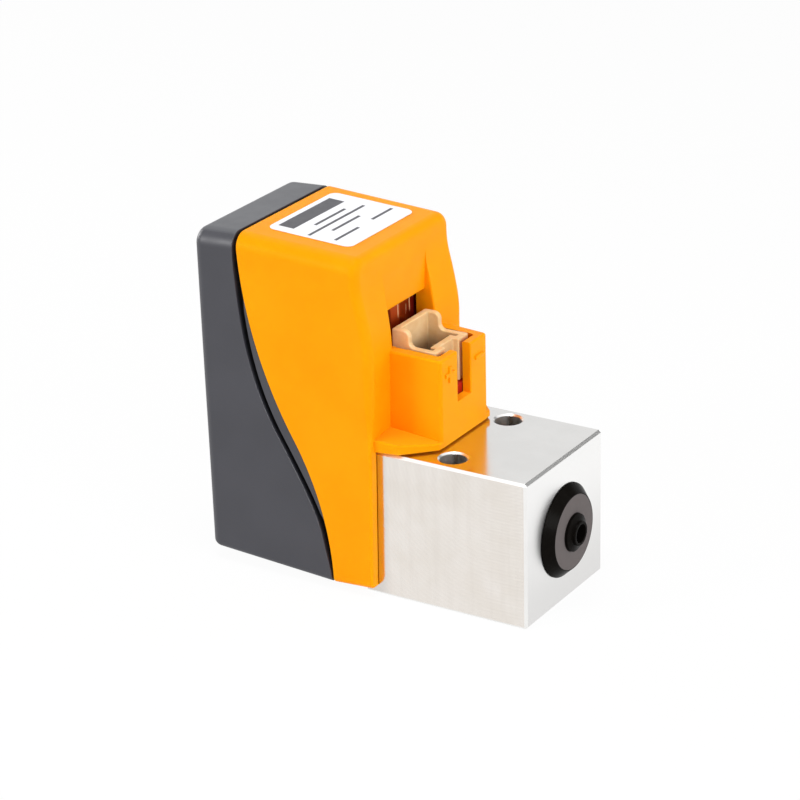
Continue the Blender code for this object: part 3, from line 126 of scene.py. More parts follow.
class Paint:
    """The node tree of a material or a world, and the shader that it starts with."""

    def __init__(self, owner, shader="Principled BSDF"):
        owner.use_nodes = True
        self.owner = owner
        self.tree = owner.node_tree
        self.shader = self.tree.nodes[shader]

    def node(self, kind, settings=None, values=(), out=0):
        """Make a node, set its settings, fill its sockets in order or by name, return an output."""
        made = self.tree.nodes.new(kind)
        for key, value in (settings or {}).items():
            setattr(made, key, value)
        pairs = values.items() if isinstance(values, dict) else enumerate(values)
        for key, value in pairs:
            self.fill(made.inputs[key], value)
        return Wire(self, made.outputs[out])

    def fill(self, socket, value):
        """Link a wire to a socket, or set the socket's own value."""
        if isinstance(value, Wire):
            self.tree.links.new(value.socket, socket)
        else:
            opaque = socket.type == "RGBA" and len(value) == 3
            socket.default_value = (*value, 1.0) if opaque else value

    def set(self, **values):
        """Fill the shader's sockets, whose names are written with underscores."""
        for key, value in values.items():
            self.fill(self.shader.inputs[key.replace("_", " ")], value)

    def place(self):
        """The surface point in metres, in the frame that all pieces share."""
        return self.node("ShaderNodeTexCoord", out="Object")

    def axes(self):
        """The point's x, y and z as three wires, in millimetres."""
        split = self.node("ShaderNodeSeparateXYZ", values=[self.place()])
        return [split.output(k) * 1000.0 for k in range(3)]

    def facing(self):
        """How squarely a surface faces along x, y and z: each is one where it faces fully."""
        normal = self.node("ShaderNodeNewGeometry", out="True Normal")
        split = self.node("ShaderNodeSeparateXYZ", values=[normal])
        return [abs(split.output(k)).ramp(0.80, 0.95) for k in range(3)]

    def noise(self, size, detail, stretch=(1.0, 1.0, 1.0)):
        """Noise between nothing and one, whose grains are about size metres across."""
        scale = tuple(1.0 / (size * s) for s in stretch)
        place = self.node("ShaderNodeVectorMath", {"operation": "MULTIPLY"}, [self.place(), scale])
        values = {"Vector": place, "Scale": 1.0, "Detail": detail, "Roughness": 0.55}
        return self.node("ShaderNodeTexNoise", values=values)

    def cloud(self, size, detail):
        """Noise whose middle values are spread until it runs from nothing to one."""
        return self.noise(size, detail).ramp(0.3, 0.7)

    def blend(self, share, low, high):
        """Mix two colours by a share between nothing and one."""
        return self.node("ShaderNodeMix", {"data_type": "RGBA"}, {0: share, 6: low, 7: high}, 2)

    def bump(self, height, depth, strength=1.0):
        """Normals of a relief that is depth metres deep where height is one."""
        values = {"Height": height, "Distance": depth, "Strength": strength}
        return self.node("ShaderNodeBump", values=values)


def new_paint(name):
    """Start a material."""
    return Paint(bpy.data.materials.new(name))


print("shader helpers ready")

# %% [markdown]
# Both mouldings are satin plastic out of a spark-eroded mould. Its grain is far finer than a
# render pixel but it still spreads the highlight, so it is a very fine, shallow bump. A slow
# drift in colour and gloss keeps large faces from looking like paint on a screen. Dyed plastic
# scatters light inside its skin, so its reflection is weak and takes some of the dye's colour.

# %% Moulded plastic
# Painted shade: where the mesh's shade attribute marks the rear moulding's groove, the colour turns
# nearly black.
PAINTED_GROOVE_SHADE = (0.002, 0.002, 0.002)
SKIN_DEPTH = 1.1 * MM


def moulded(name, colour, pale, painted_top_sheen, roughness, shine, tint, glow):
    """Satin plastic: colour drift, painted sheen on top, painted shade in the marked groove, uneven
    gloss, eroded grain, glow in its wall.
    """
    paint = new_paint(name)
    drift = paint.cloud(9.0 * MM, 2.0)
    fine = paint.noise(0.16 * MM, 2.0)
    patch = paint.noise(2.2 * MM, 3.0)
    shade = paint.node("ShaderNodeAttribute", {"attribute_name": "shade"}, out="Fac")
    # Painted sheen: faces that look up blend towards a lighter colour, for the light that they
    # reflect.
    top = paint.facing()[2] * (drift * 0.2 + 0.8)
    skin = paint.blend(top, paint.blend(drift, colour, pale), painted_top_sheen)
    # Painted shade in the marked groove.
    paint.set(Base_Color=paint.blend(shade, skin, PAINTED_GROOVE_SHADE))
    paint.set(Subsurface_Weight=glow, Subsurface_Radius=(1.0, 0.28, 0.04))
    paint.set(Subsurface_Scale=SKIN_DEPTH)
    paint.set(Roughness=patch.ramp(0.2, 0.8, roughness - 0.03, roughness + 0.04))
    paint.set(Normal=paint.bump(fine, 0.006 * MM), Specular_IOR_Level=shine, Specular_Tint=tint)
    return paint.owner


ORANGE = moulded(
    "orange_moulding", colour=(0.94, 0.315, 0.001), pale=(0.97, 0.338, 0.002),
    painted_top_sheen=(0.95, 0.325, 0.006), roughness=0.42, shine=0.12, tint=(1.0, 0.6, 0.15), glow=0.3)
GREY = moulded(
    "grey_moulding", colour=(0.027, 0.027, 0.036), pale=(0.033, 0.033, 0.043),
    painted_top_sheen=(0.085, 0.088, 0.097), roughness=0.45, shine=0.62, tint=(1.0, 1.0, 1.0), glow=0.0)
print("plastics:", ORANGE.name, GREY.name)

# %% [markdown]
# The block is milled from aluminium. Its sides show the wide arcs of a fly cutter and a fine
# ladder of feed marks near the upright front edge; its top is finer and mirrors the orange
# pocket. The arcs are circles about a far centre, so their height is a wave of the distance.
# A wave's sine takes radians, so each count below is in radians per millimetre.

# %% Milled aluminium
CUTTER_X, CUTTER_Z = 17.0, 20.0
ARC_WAVES, SCRATCH_WAVES, LADDER_WAVES = 11.0, 1.35, 16.0
# The second of these colours is painted shade.
WORN_METAL, PAINTED_SHADE_METAL = (0.62, 0.56, 0.51), (0.45, 0.44, 0.43)


def milled():
    """Aluminium: arcs, ladder and streaks on the sides. Painted light makes the front paler and the
    sides warmer; painted shade darkens the top, the front low down and the sides next to the
    housing.

    The arcs' height is sin(waves * distance from the cutter's centre), half above the metal.
    """
    paint = new_paint("milled_aluminium")
    x, y, z = paint.axes()
    front, side, top = paint.facing()
    sweep = ((x - CUTTER_X) ** 2.0 + (z - CUTTER_Z) ** 2.0).root()
    uneven = paint.noise(3.0 * MM, 2.0)
    arcs = (sweep * ARC_WAVES + uneven * 2.0).sine() * 0.5 + 0.5
    scratch = (sweep * SCRATCH_WAVES + uneven * 1.5).sine().ramp(0.990, 1.0)
    ladder = (z * LADDER_WAVES + uneven * 0.8).sine() * x.ramp(9.0, 18.5) * 0.5 + 0.5
    columns = paint.noise(0.9 * MM, 2.0, (1.0, 1.0, 14.0)).ramp(0.4, 0.7)
    hair = paint.noise(0.10 * MM, 2.0, (16.0, 1.0, 1.0))
    cloud = paint.cloud(4.0 * MM, 2.0)
    # Painted light: each face direction gets its own tone, warmer on the sides and paler on the
    # front.
    warm = paint.blend(cloud, (0.80, 0.755, 0.70), (0.84, 0.80, 0.755))
    cool = paint.blend(cloud, (0.85, 0.845, 0.83), (0.89, 0.885, 0.87))
    lit_metal = paint.blend(side, paint.blend(front, cool, (0.94, 0.935, 0.925)), warm)
    worn = side * (uneven * (ladder * 0.14 + arcs * 0.10) + columns * 0.10)
    # Painted shade: darker on the top, low down on the front, and on the sides next to the housing.
    low = front * z.ramp(1.0, 15.0, 0.40, 0.0) + side * x.ramp(1.0, 2.6, 0.35, 0.0)
    colour = paint.blend(top * 0.36 + low, paint.blend(worn, lit_metal, WORN_METAL), PAINTED_SHADE_METAL)
    paint.set(Base_Color=colour, Metallic=1.0)
    feed = side * (arcs * uneven * 0.25 + ladder * uneven * 0.4 + scratch * 0.9)
    paint.set(Roughness=0.30 - top * 0.14 - side * x.ramp(1.0, 5.0, 0.17, 0.08))
    paint.set(Normal=paint.bump(feed + hair * 0.25, 0.005 * MM, 0.45))
    return paint.owner


ALUMINIUM = milled()
print("metal:", ALUMINIUM.name)

# %% [markdown]
# The port nipple is turned steel under a black finish. Its flat face gets a paler grey than the
# bevel round it, a painted sheen for the light that the face reflects, and fine rings from the
# lathe run about its axis. The distance from that axis gives both the rings and the two zones.

# %% Black turned steel
PORT_Z = 8.9
FLANGE_FACE, NOZZLE = 4.55, 2.25
LATHE_WAVES = 42.0


def blackened():
    """Black turned finish: rings about the port's axis, and a flat face painted greyer as sheen.

    The rings' height is sin(waves * distance from the axis), half above the metal.
    """
    paint = new_paint("black_turned")
    _, y, z = paint.axes()
    away = (y ** 2.0 + (z - PORT_Z) ** 2.0).root()
    rings = (away * LATHE_WAVES).sine() * 0.5 + 0.5
    worn = paint.noise(0.8 * MM, 4.0)
    # Painted sheen: the flat face gets a paler grey than the black bevel, for the light that it
    # reflects.
    face = away.ramp(FLANGE_FACE - 0.15, FLANGE_FACE - 0.05, 1.0, 0.0)
    face = face * away.ramp(NOZZLE, NOZZLE + 0.1)
    grey = paint.blend(worn, (0.115, 0.100, 0.098), (0.132, 0.117, 0.115))
    black = paint.blend(worn, (0.003, 0.0025, 0.0022), (0.006, 0.005, 0.004))
    paint.set(Base_Color=paint.blend(face, black, grey), Specular_IOR_Level=0.04, IOR=1.3)
    paint.set(Roughness=0.22 + worn * 0.08 + face * 0.16)
    paint.set(Normal=paint.bump(rings * 0.6 + worn * 0.4, 0.003 * MM, 0.5))
    return paint.owner


BLACK = blackened()
print("metal:", BLACK.name)

# %% [markdown]
# The smaller finishes follow the same plan. A turned or plated metal has streaks along one
# direction, rubber has a dull grain, nylon is cloudy under its skin with painted shade in the
# plug's cavity, and the coil is wrapped in amber film over copper, which shows as glossy strips
# with a few wrinkles whose bright colour is a painted highlight, and painted shade on its far side.

# %% Smaller finishes
CAVITY_X, CAVITY_HALF_X, CAVITY_HALF_Y = 2.85, 2.15, 2.95
# Two folds whose bright colour is a painted highlight, and their height.
GLINT_FOLDS, GLINT_FOLD_Z = (1.3, 3.9), 31.6


def metal(name, dark, pale, roughness):
    """Bright metal with fine upright streaks."""
    paint = new_paint(name)
    streak = paint.noise(0.1 * MM, 3.0, (1.0, 1.0, 8.0))
    paint.set(Base_Color=paint.blend(paint.cloud(0.9 * MM, 3.0), dark, pale), Metallic=1.0)
    paint.set(Roughness=streak.ramp(0.2, 0.8, roughness - 0.06, roughness + 0.08))
    paint.set(Normal=paint.bump(streak, 0.004 * MM, 0.5))
    return paint.owner


def soft(name, dark, pale, roughness):
    """Rubber or nylon: cloudy colour and a fine dull grain."""
    paint = new_paint(name)
    cloud = paint.cloud(1.4 * MM, 4.0)
    paint.set(Base_Color=paint.blend(cloud, dark, pale), Specular_IOR_Level=0.3)
    paint.set(Roughness=cloud * 0.08 + roughness)
    paint.set(Normal=paint.bump(paint.noise(0.12 * MM, 2.0), 0.005 * MM, 0.6))
    return paint.owner


def nylon():
    """Natural nylon, cloudy and warm, with painted shade down in the plug's cavity."""
    paint = new_paint("header_nylon")
    x, y, z = paint.axes()
    cloud = paint.cloud(1.4 * MM, 4.0)
    # Painted shade: darker down in the plug's cavity, towards its floor.
    deep = x.inside(CAVITY_X, CAVITY_HALF_X, 0.05) * y.inside(0.0, CAVITY_HALF_Y, 0.05)
    deep = deep * z.ramp(25.5, 30.0, 1.0, 0.0)
    outer = paint.blend(cloud, (0.76, 0.50, 0.24), (0.82, 0.58, 0.31))
    paint.set(Base_Color=paint.blend(deep, outer, (0.32, 0.215, 0.13)), Specular_IOR_Level=0.3)
    paint.set(Subsurface_Weight=0.25, Subsurface_Radius=(1.0, 0.6, 0.3), Subsurface_Scale=0.6 * MM)
    paint.set(Roughness=cloud * 0.08 + 0.4, Normal=paint.bump(cloud, 0.005 * MM, 0.5))
    return paint.owner


def coil_film():
    """Amber film over copper: overlapping strips round the coil, wrinkles with a painted highlight,
    and painted shade on the far side.
    """
    paint = new_paint("coil_film")
    _, y, z = paint.axes()
    wave = paint.noise(2.5 * MM, 2.0) * 1.2
    lap = (y * 1.5 + wave).sine().ramp(-0.2, 0.3)
    # Painted shade: the film turns darker towards the window's far side.
    far = (y + wave * 0.4).ramp(3.2, 3.9)
    # Painted highlight: the wrinkles and the two folds get a bright colour, over their real bumps
    # and coat.
    crease_and_glint = paint.noise(0.40 * MM, 3.0, (1.0, 1.0, 6.0)).ramp(0.62, 0.67) * 0.5
    for fold in GLINT_FOLDS:
        crease_and_glint = crease_and_glint.most(y.inside(fold, 0.10, 0.05) * z.inside(GLINT_FOLD_Z, 1.1, 0.4))
    amber = paint.blend(lap, (0.17, 0.016, 0.004), (0.44, 0.062, 0.011))
    film = paint.blend(far, amber, (0.15, 0.008, 0.004))
    paint.set(Base_Color=paint.blend(crease_and_glint, film, (0.95, 0.62, 0.35)))
    paint.set(Roughness=0.14 + lap * 0.1, Coat_Weight=0.15 + crease_and_glint * 0.5)
    paint.set(Normal=paint.bump(crease_and_glint, 0.03 * MM, 0.8), Coat_Roughness=0.08)
    return paint.owner


print("small finishes ready")

# %% [markdown]
# The sticker is white film with one plain dark bar and a few plain rules. A bar is the product
# of two bands, one across each direction, so it needs no picture, and the darkest bar wins where
# two of them meet.

# %% Sticker
LABEL_PLACE = (-8.925, 0.25)
LABEL_BARS = [
    (-3.8, -0.4, 1.05, 5.4),
    (-1.4, -0.2, 0.20, 3.2),
    (-0.2, -0.7, 0.20, 5.9),
    (1.2, -0.9, 0.20, 2.9),
    (3.1, -3.7, 0.20, 2.5),
    (3.0, 4.0, 0.20, 2.2),
]


def sticker():
    """White film with bars that are each (across, along, half width, half length) in mm."""
    paint = new_paint("label_film")
    x, y, _ = paint.axes()
    ink = None
    for across, along, half_width, half_length in LABEL_BARS:
        bar = x.inside(LABEL_PLACE[0] + across, half_width, 0.03)
        bar = bar * y.inside(LABEL_PLACE[1] + along, half_length, 0.03)
        ink = bar if ink is None else ink.most(bar)
    cloud = paint.cloud(1.4 * MM, 4.0)
    white = paint.blend(cloud, (0.86, 0.86, 0.90), (0.90, 0.90, 0.93))
    paint.set(Base_Color=paint.blend(ink, white, (0.055, 0.055, 0.065)), Specular_IOR_Level=0.35)
    paint.set(Roughness=cloud * 0.08 + 0.32, Normal=paint.bump(cloud, 0.004 * MM, 0.4))
    return paint.owner


FINISHES = {
    "aluminium": ALUMINIUM,
    "black_oxide": BLACK,
    "orange_moulding": ORANGE,
    "grey_moulding": GREY,
    "coil_tape": coil_film(),
    "label_white": sticker(),
    "seal_rubber": soft("seal_rubber", (0.012, 0.012, 0.013), (0.02, 0.02, 0.021), 0.6),
    "poppet_rubber": soft("poppet_rubber", (0.27, 0.025, 0.018), (0.33, 0.035, 0.025), 0.6),
    "bobbin_nylon": soft("bobbin_nylon", (0.04, 0.04, 0.042), (0.06, 0.06, 0.062), 0.45),
    "header_nylon": nylon(),
    "board_red": soft("board_red", (0.36, 0.009, 0.005), (0.46, 0.014, 0.008), 0.34),
    "stainless": metal("stainless", (0.52, 0.51, 0.49), (0.62, 0.61, 0.59), 0.26),
    "magnetic_steel": metal("magnetic_steel", (0.38, 0.38, 0.38), (0.46, 0.46, 0.46), 0.36),
    "zinc_steel": metal("zinc_steel", (0.55, 0.55, 0.52), (0.66, 0.66, 0.62), 0.32),
    "spring_steel": metal("spring_steel", (0.45, 0.45, 0.45), (0.55, 0.55, 0.55), 0.25),
    "tinned_brass": metal("tinned_brass", (0.66, 0.58, 0.40), (0.76, 0.70, 0.55), 0.28),
}
slots = {part["node"]: part["material_slot"] for part in frame["record"]["subparts"]}
for name, node in frame["nodes"].items():
    node.data.materials.clear()
    node.data.materials.append(FINISHES[slots[name]])
print("finished nodes:", len(slots))

# %% [markdown]
# The finer pieces are surfaces worked out with numpy, in millimetres. A grid of points is a
# function of two parameters: which ring, and which place round the ring. Its quads are the same
# for every grid. Flat outlines get arcs at their corners, and are carried along one axis.


# %% Grids and outlines
def smooth(value, start, end):
    """Ease from nothing at start to one at end: 3t^2 - 2t^3."""
    t = np.clip((value - start) / (end - start), 0.0, 1.0)
    return t * t * (3.0 - 2.0 * t)


def quarter(steps, start=0.0):
    """Cosines and sines of evenly spaced angles over a quarter turn from the start angle."""
    angle = start + np.linspace(0.0, math.pi / 2.0, steps + 1)
    return np.cos(angle), np.sin(angle)


def unit(vectors):
    """Each row divided by its length."""
    return vectors / np.linalg.norm(vectors, axis=-1, keepdims=True)


def rounded(corners, radius, steps):
    """Closed outline whose corners are arcs that touch both of their sides.

    The arc's centre lies on the corner's bisector at radius / sin(half angle), and a point of the
    arc turns evenly from the one touching point to the other.
    """
    corners = np.asarray(corners, float)
    radius = np.broadcast_to(radius, len(corners)).astype(float)[:, None]
    back, on = unit(np.roll(corners, 1, 0) - corners), unit(np.roll(corners, -1, 0) - corners)
    half = np.arccos(np.clip((back * on).sum(1, keepdims=True), -1.0, 1.0)) / 2.0
    centre = corners + unit(back + on) * radius / np.sin(half)
    first, last = (corners + way * radius / np.tan(half) - centre for way in (back, on))
    turn = math.pi - 2.0 * half
    share = np.linspace(0.0, 1.0, steps + 1)[None, :, None]
    turn = turn[:, :, None]
    arc = np.sin((1.0 - share) * turn) * first[:, None] + np.sin(share * turn) * last[:, None]
    return (centre[:, None] + arc / np.sin(turn)).reshape(-1, 2)


def grid_faces(rows, columns):
    """Quads of a grid whose columns run round: each point with its neighbours on and up."""
    index = np.arange(rows * columns).reshape(rows, columns)
    index = np.hstack([index, index[:, :1]])
    corners = [index[:-1, :-1], index[:-1, 1:], index[1:, 1:], index[1:, :-1]]
    return np.stack(corners, axis=-1).reshape(-1, 4).tolist()


def put(name, data):
    """Put a mesh, lamp or camera into the scene as an object."""
    made = bpy.data.objects.new(name, data)
    bpy.context.scene.collection.objects.link(made)
    return made


def new_object(name, points, faces):
    """Weld millimetre points and their faces into an object, turned outwards."""
    mesh = bpy.data.meshes.new(name)
    mesh.from_pydata((np.reshape(points, (-1, 3)) * MM).tolist(), [], faces)
    work = bmesh.new()
    work.from_mesh(mesh)
    bmesh.ops.remove_doubles(work, verts=work.verts, dist=0.0005 * MM)
    bmesh.ops.recalc_face_normals(work, faces=work.faces)
    work.to_mesh(mesh)
    work.free()
    return put(name, mesh)


def tube_of(name, rings):
    """Join equal rings of points into a skin, with a flat face on its first and last ring."""
    rows, columns = len(rings), len(rings[0])
    ends = [list(range(columns)), list(range((rows - 1) * columns, rows * columns))]
    return new_object(name, np.array(rings), grid_faces(rows, columns) + ends)


def carry(name, outline, low, high, along="z"):
    """Carry a flat outline from low to high along an axis, and close both ends."""
    outline = np.asarray(outline, float)
    axis = "xyz".index(along)
    rings = [np.insert(outline, axis, end, axis=1) for end in (low, high)]
    return tube_of(name, rings)


def box(name, x, y, z):
    """A box between two values on each axis."""
    return carry(name, [(x[0], y[0]), (x[1], y[0]), (x[1], y[1]), (x[0], y[1])], *z)


def mirrored(right):
    """A plan from its right half: the half's points, and the same ones on the left, backwards."""
    return right + [(x, -y) for x, y in reversed(right)]


def lathe(name, profile, at, along, steps):
    """Turn a closed outline of (radius, height) points round an axis through the point at."""
    radius, height = np.asarray(profile, float).T
    angle = np.arange(steps) * math.tau / steps
    across, up = np.outer(radius, np.cos(angle)), np.outer(radius, np.sin(angle))
    height = np.repeat(height[:, None], steps, axis=1)
    parts = [across, up, height] if along == "z" else [height, across, up]
    points = np.stack(parts, axis=-1) + np.array(at)
    points = np.concatenate([points, points[:1]])
    return new_object(name, points, grid_faces(len(points), steps))


print("grid helpers ready")

# %% [markdown]
# A hole is a tool that is taken away by a Boolean modifier. Once a piece is shaped, its
# modifiers are worked out, the result becomes its mesh, and the tools are removed. Then the
# piece gets its finish, even shading on its flat faces, and its place in the frame.


# %% Cutting, settling and dressing
def combine(target, operation, tool):
    """Give the target a Boolean modifier that uses the tool."""
    step = target.modifiers.new(tool.name, "BOOLEAN")
    step.operation = operation
    step.solver = "EXACT"
    step.object = tool


def join(target, *tools):
    """Add each of the tools to the target."""
    for tool in tools:
        combine(target, "UNION", tool)


def cut(target, *tools):
    """Take each of the tools away from the target."""
    for tool in tools:
        combine(target, "DIFFERENCE", tool)


def bevel(target, width, segments, angle=40.0):
    """Round the edges that are sharper than the angle."""
    step = target.modifiers.new("edges", "BEVEL")
    step.width = width * MM
    step.segments = segments
    step.limit_method = "ANGLE"
    step.angle_limit = math.radians(angle)


def settle(piece):
    """Work out a piece's modifiers, keep the result as its mesh, and remove the tools."""
    tools = [step.object for step in piece.modifiers if step.type == "BOOLEAN"]
    graph = bpy.context.evaluated_depsgraph_get()
    mesh = bpy.data.meshes.new_from_object(piece.evaluated_get(graph))
    piece.modifiers.clear()
    piece.data = mesh
    for tool in tools:
        bpy.data.objects.remove(tool, do_unlink=True)
    return piece


def dress(piece, finish, nodes, angle=30.0):
    """Give a piece its finish and its shading, and let it stand for the nodes."""
    mesh = piece.data
    mesh.materials.clear()
    mesh.materials.append(FINISHES[finish])
    mesh.shade_smooth()
    mesh.set_sharp_from_angle(angle=math.radians(angle))
    step = piece.modifiers.new("even_shading", "WEIGHTED_NORMAL")
    step.keep_sharp = True
    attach(piece, "valve")
    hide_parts(*nodes)
    print(piece.name, "faces:", len(mesh.polygons))
    return piece


print("cutting helpers ready")

# %% [markdown]
# The housing is two mouldings whose sections shrink away from the line where they meet, as the
# draft of a mould asks. A section is a list of spots: straight sides, and corners given by a
# centre, a radius and an outward direction. Each spot is then moved inwards by its distance
# from the split and by how deep inside the wall the ring lies.

# %% Section of the housing
FRONT_X = 20.325
TOP, BOTTOM, HALF_WIDTH = 41.85, 0.8, 10.57
WALL = 1.15
TOP_ROUND, BOTTOM_ROUND = 1.9, 0.7
SHARPEST = 0.08
SIDE_DRAFT, TOP_DRAFT = math.tan(math.radians(0.9)), math.tan(math.radians(2.75))
SPLIT_DEPTH, SPLIT_HEIGHT, SPLIT_SLOPE = 36.75, 18.0, 0.59
SPLIT_RADII = (50.0, 36.0)
SIDE_ROWS, ROOF_FADE, FLOOR_FADE = 70, 8.0, 7.0
END_STEPS, EDGE_STEPS = 10, 3

Spots = namedtuple("Spots", "y z radius out_y out_z side rise level")


def corner_spots(y, z, radius, start, steps):
    """Spots of a quarter turn round the centre (y, z) of a corner on the right side.

    A spot lies at the centre plus the radius times its outward direction (cos a, sin a).
    """
    out_y, out_z = quarter(steps, start)
    same = np.ones(steps + 1)
    rise = -1.0 if start < 0.0 else 1.0
    level = z + radius * out_z
    return np.array([y * same, z * same, radius * same, out_y, out_z, same, rise * same, level])


def section_spots():
    """Spots round the section, from the bottom up the right side and down the left.

    Rise is one at the top corner and minus one at the bottom one, and eases to nothing between.
    """
    floor, roof = BOTTOM + BOTTOM_ROUND, TOP - TOP_ROUND
    low = corner_spots(HALF_WIDTH - BOTTOM_ROUND, floor, BOTTOM_ROUND, -math.pi / 2.0, 6)
    high = corner_spots(HALF_WIDTH - TOP_ROUND, roof, TOP_ROUND, 0.0, 14)
    levels = np.linspace(floor, roof, SIDE_ROWS)[1:-1]
    one, none = np.ones(SIDE_ROWS - 2), np.zeros(SIDE_ROWS - 2)
    rise = smooth(levels, TOP - ROOF_FADE, levels[-1])
    rise = rise + smooth(levels, levels[0], BOTTOM + FLOOR_FADE) - 1.0
    straight = np.array([HALF_WIDTH * one, levels, none, one, none, one, rise, levels])
    right = np.hstack([low, straight, high])
    flip = np.array([-1.0, 1.0, 1.0, -1.0, 1.0, -1.0, 1.0, 1.0])[:, None]
    return Spots(*np.hstack([right, right[:, ::-1] * flip]))


SPOTS = section_spots()
LEVEL = SPOTS.level


def split_turn(rise):
    """Run of the S line's arc from its inflection: radius * (cos(end) - cos(start))."""
    radius = np.where(rise > 0.0, *SPLIT_RADII)
    tilt = math.atan(SPLIT_SLOPE)
    sine = np.maximum(math.sin(tilt) - np.abs(rise) / radius, 0.0)
    run = radius * (np.sqrt(1.0 - sine * sine) - math.cos(tilt))
    return np.where(rise > 0.0, run, -run)


def split_depth(z):
    """Depth of the line where the mouldings meet: two tangent arcs that make an S."""
    return SPLIT_DEPTH - split_turn(np.float64(TOP - SPLIT_HEIGHT)) + split_turn(z - SPLIT_HEIGHT)


def ring(depth, inset):
    """Points of the section at a depth, moved inwards by the draft and by the inset.

    The draft moves a point by the tangent of its angle times the distance from the split.
    """
    away = np.abs(depth - split_depth(LEVEL))
    radius = np.where(SPOTS.radius > 0.0, np.maximum(SPOTS.radius - inset, SHARPEST), 0.0)
    shift = inset - (SPOTS.radius - radius)
    sink = away * TOP_DRAFT + shift * (SPOTS.radius > 0.0)
    y = SPOTS.y - SPOTS.side * (away * SIDE_DRAFT + shift) + SPOTS.out_y * radius
    z = SPOTS.z - SPOTS.rise * sink + SPOTS.out_z * radius
    return np.stack([FRONT_X - (depth + 0.0 * y), y, z], axis=-1)


def edge(end, radius, forward, steps=EDGE_STEPS, inset=0.0):
    """Rings over a rounded edge, whose end face looks forward or back.

    With a as the angle, a ring lies radius * (1 - sin a) before the end, radius * (1 - cos a) in.
    """
    c, s = quarter(steps)
    return [ring(end + forward * (inset + radius * (1.0 - b)), inset + radius * (1.0 - a))
            for a, b in zip(c, s)]


def rounded_end(end, radius, forward):
    """Rings over a rounded outer end, and over the same end inside the wall, less rounded."""
    outer = edge(end, radius, forward, END_STEPS)
    inner = edge(end, 0.4 * radius, forward, END_STEPS, WALL)
    return outer[::-1], inner[::2]


def shell(name, rings):
    """Join the rings, and close both ends level by level across the housing."""
    rows, columns = len(rings), len(rings[0])
    k = np.arange(columns // 2 - 1)
    strip = np.stack([k, k + 1, columns - 2 - k, columns - 1 - k], axis=-1)
    caps = np.vstack([strip, strip + (rows - 1) * columns]).tolist()
    return new_object(name, np.array(rings), grid_faces(rows, columns) + caps)


print("section spots:", len(LEVEL))

# %% [markdown]
# The grey rear moulding ends in a shadow groove, a bare strip that is widest at half height, and
# a lip that slides under the orange one. The rings walk over these steps one after another.
# Where the light falls on an edge it needs a small radius, so the groove's rear edge is rounded.

# %% Rear moulding
STRIP_WIDTH, STRIP_HEIGHT, STRIP_RISE, STRIP_DROP = 1.4, 18.3, 20.0, 12.5
GROOVE_DEPTH, STRIP_STEP, LIP_STEP, LIP_REACH = 0.95, 0.1, 0.62, 1.1
REAR_DEPTH, REAR_LEAN, REAR_ROUND = 42.8, 0.4, 1.3
GROOVE_WIDTH, LOW_LOSS, HIGH_LOSS, LOSS_SPAN = 0.65, 0.5, 0.25, 5.0
RIM_ROUND, HAIR = 0.1, 0.01
TAIL_ROOM, TAIL_DEPTH = 7.82, 20.5


def groove_edges():
    """Depths of the strip's rear edge and of the rear moulding's visible edge, per spot.

    The strip's width is a lens, (1 - t^2)^2, with t as the distance from its widest level.
    """
    span = np.where(LEVEL > STRIP_HEIGHT, STRIP_RISE, STRIP_DROP)
    lens = (1.0 - np.minimum(np.abs(LEVEL - STRIP_HEIGHT) / span, 1.0) ** 2) ** 2
    strip = split_depth(LEVEL) + STRIP_STEP + STRIP_WIDTH * lens
    width = GROOVE_WIDTH - LOW_LOSS * (1.0 - smooth(LEVEL, BOTTOM, BOTTOM + LOSS_SPAN))
    width = width - HIGH_LOSS * smooth(LEVEL, TOP - LOSS_SPAN, TOP)
    return strip, strip + width, smooth(STRIP_WIDTH * lens, 0.0, GROOVE_WIDTH / 2.0)


def shade_rings(piece, rings, first, last):
    """Mark the rings from first to last as lying in deep shade, in an attribute of the mesh."""
    columns = len(rings[0])
    shade = np.zeros((len(rings), columns), np.float32)
    shade[first:last + 1] = 1.0
    layer = piece.data.attributes.new("shade", "FLOAT", "POINT")
    layer.data.foreach_set("value", shade.ravel())


def make_rear():
    """Rear moulding: rounded back, groove, strip and lip, in rings from the back forwards."""
    strip, rim, share = groove_edges()
    back = REAR_DEPTH - REAR_LEAN * (TOP - LEVEL) / (TOP - BOTTOM)
    outer, inner = rounded_end(back, REAR_ROUND, -1.0)
    strip_inset = GROOVE_DEPTH - (GROOVE_DEPTH - STRIP_STEP) * share
    start = split_depth(LEVEL) + STRIP_STEP / 2.0
    round_off = np.minimum(RIM_ROUND, 0.4 * (strip - start))
    lip, lip_inset = split_depth(LEVEL) - LIP_REACH, LIP_STEP + STRIP_STEP
    rings = outer + edge(rim, RIM_ROUND, 1.0)
    groove = len(rings)
    rings += [ring(rim, GROOVE_DEPTH), ring(strip, GROOVE_DEPTH),
              ring(strip - HAIR, np.minimum(strip_inset + round_off, GROOVE_DEPTH)),
              ring(strip - HAIR - round_off, strip_inset), ring(start, strip_inset),
              ring(start - 2.0 * HAIR, lip_inset), ring(lip, lip_inset), ring(lip, WALL)]
    cover = shell("rear_moulding", rings + inner)
    # The groove's floor and walls are marked for painted shade.
    shade_rings(cover, rings + inner, groove, groove + 2)
    tail = (FRONT_X - 38.42, FRONT_X - TAIL_DEPTH)
    cut(cover, box("cut_tongue", tail, (-TAIL_ROOM, TAIL_ROOM), (-1.0, 9.0)))
    return settle(cover)


dress(make_rear(), "grey_moulding", ["rear_cover"])

# %% [markdown]
# The orange moulding has rounded cheeks that flare forwards under the top. A recess between
# them holds the panel and the coil's window. The recess is one tool: at each level its plan runs
# straight forward and then turns outwards in a small arc, so the cheeks' inner edges come out
# rounded, and the radius shrinks to nothing where the recess runs out under the top.

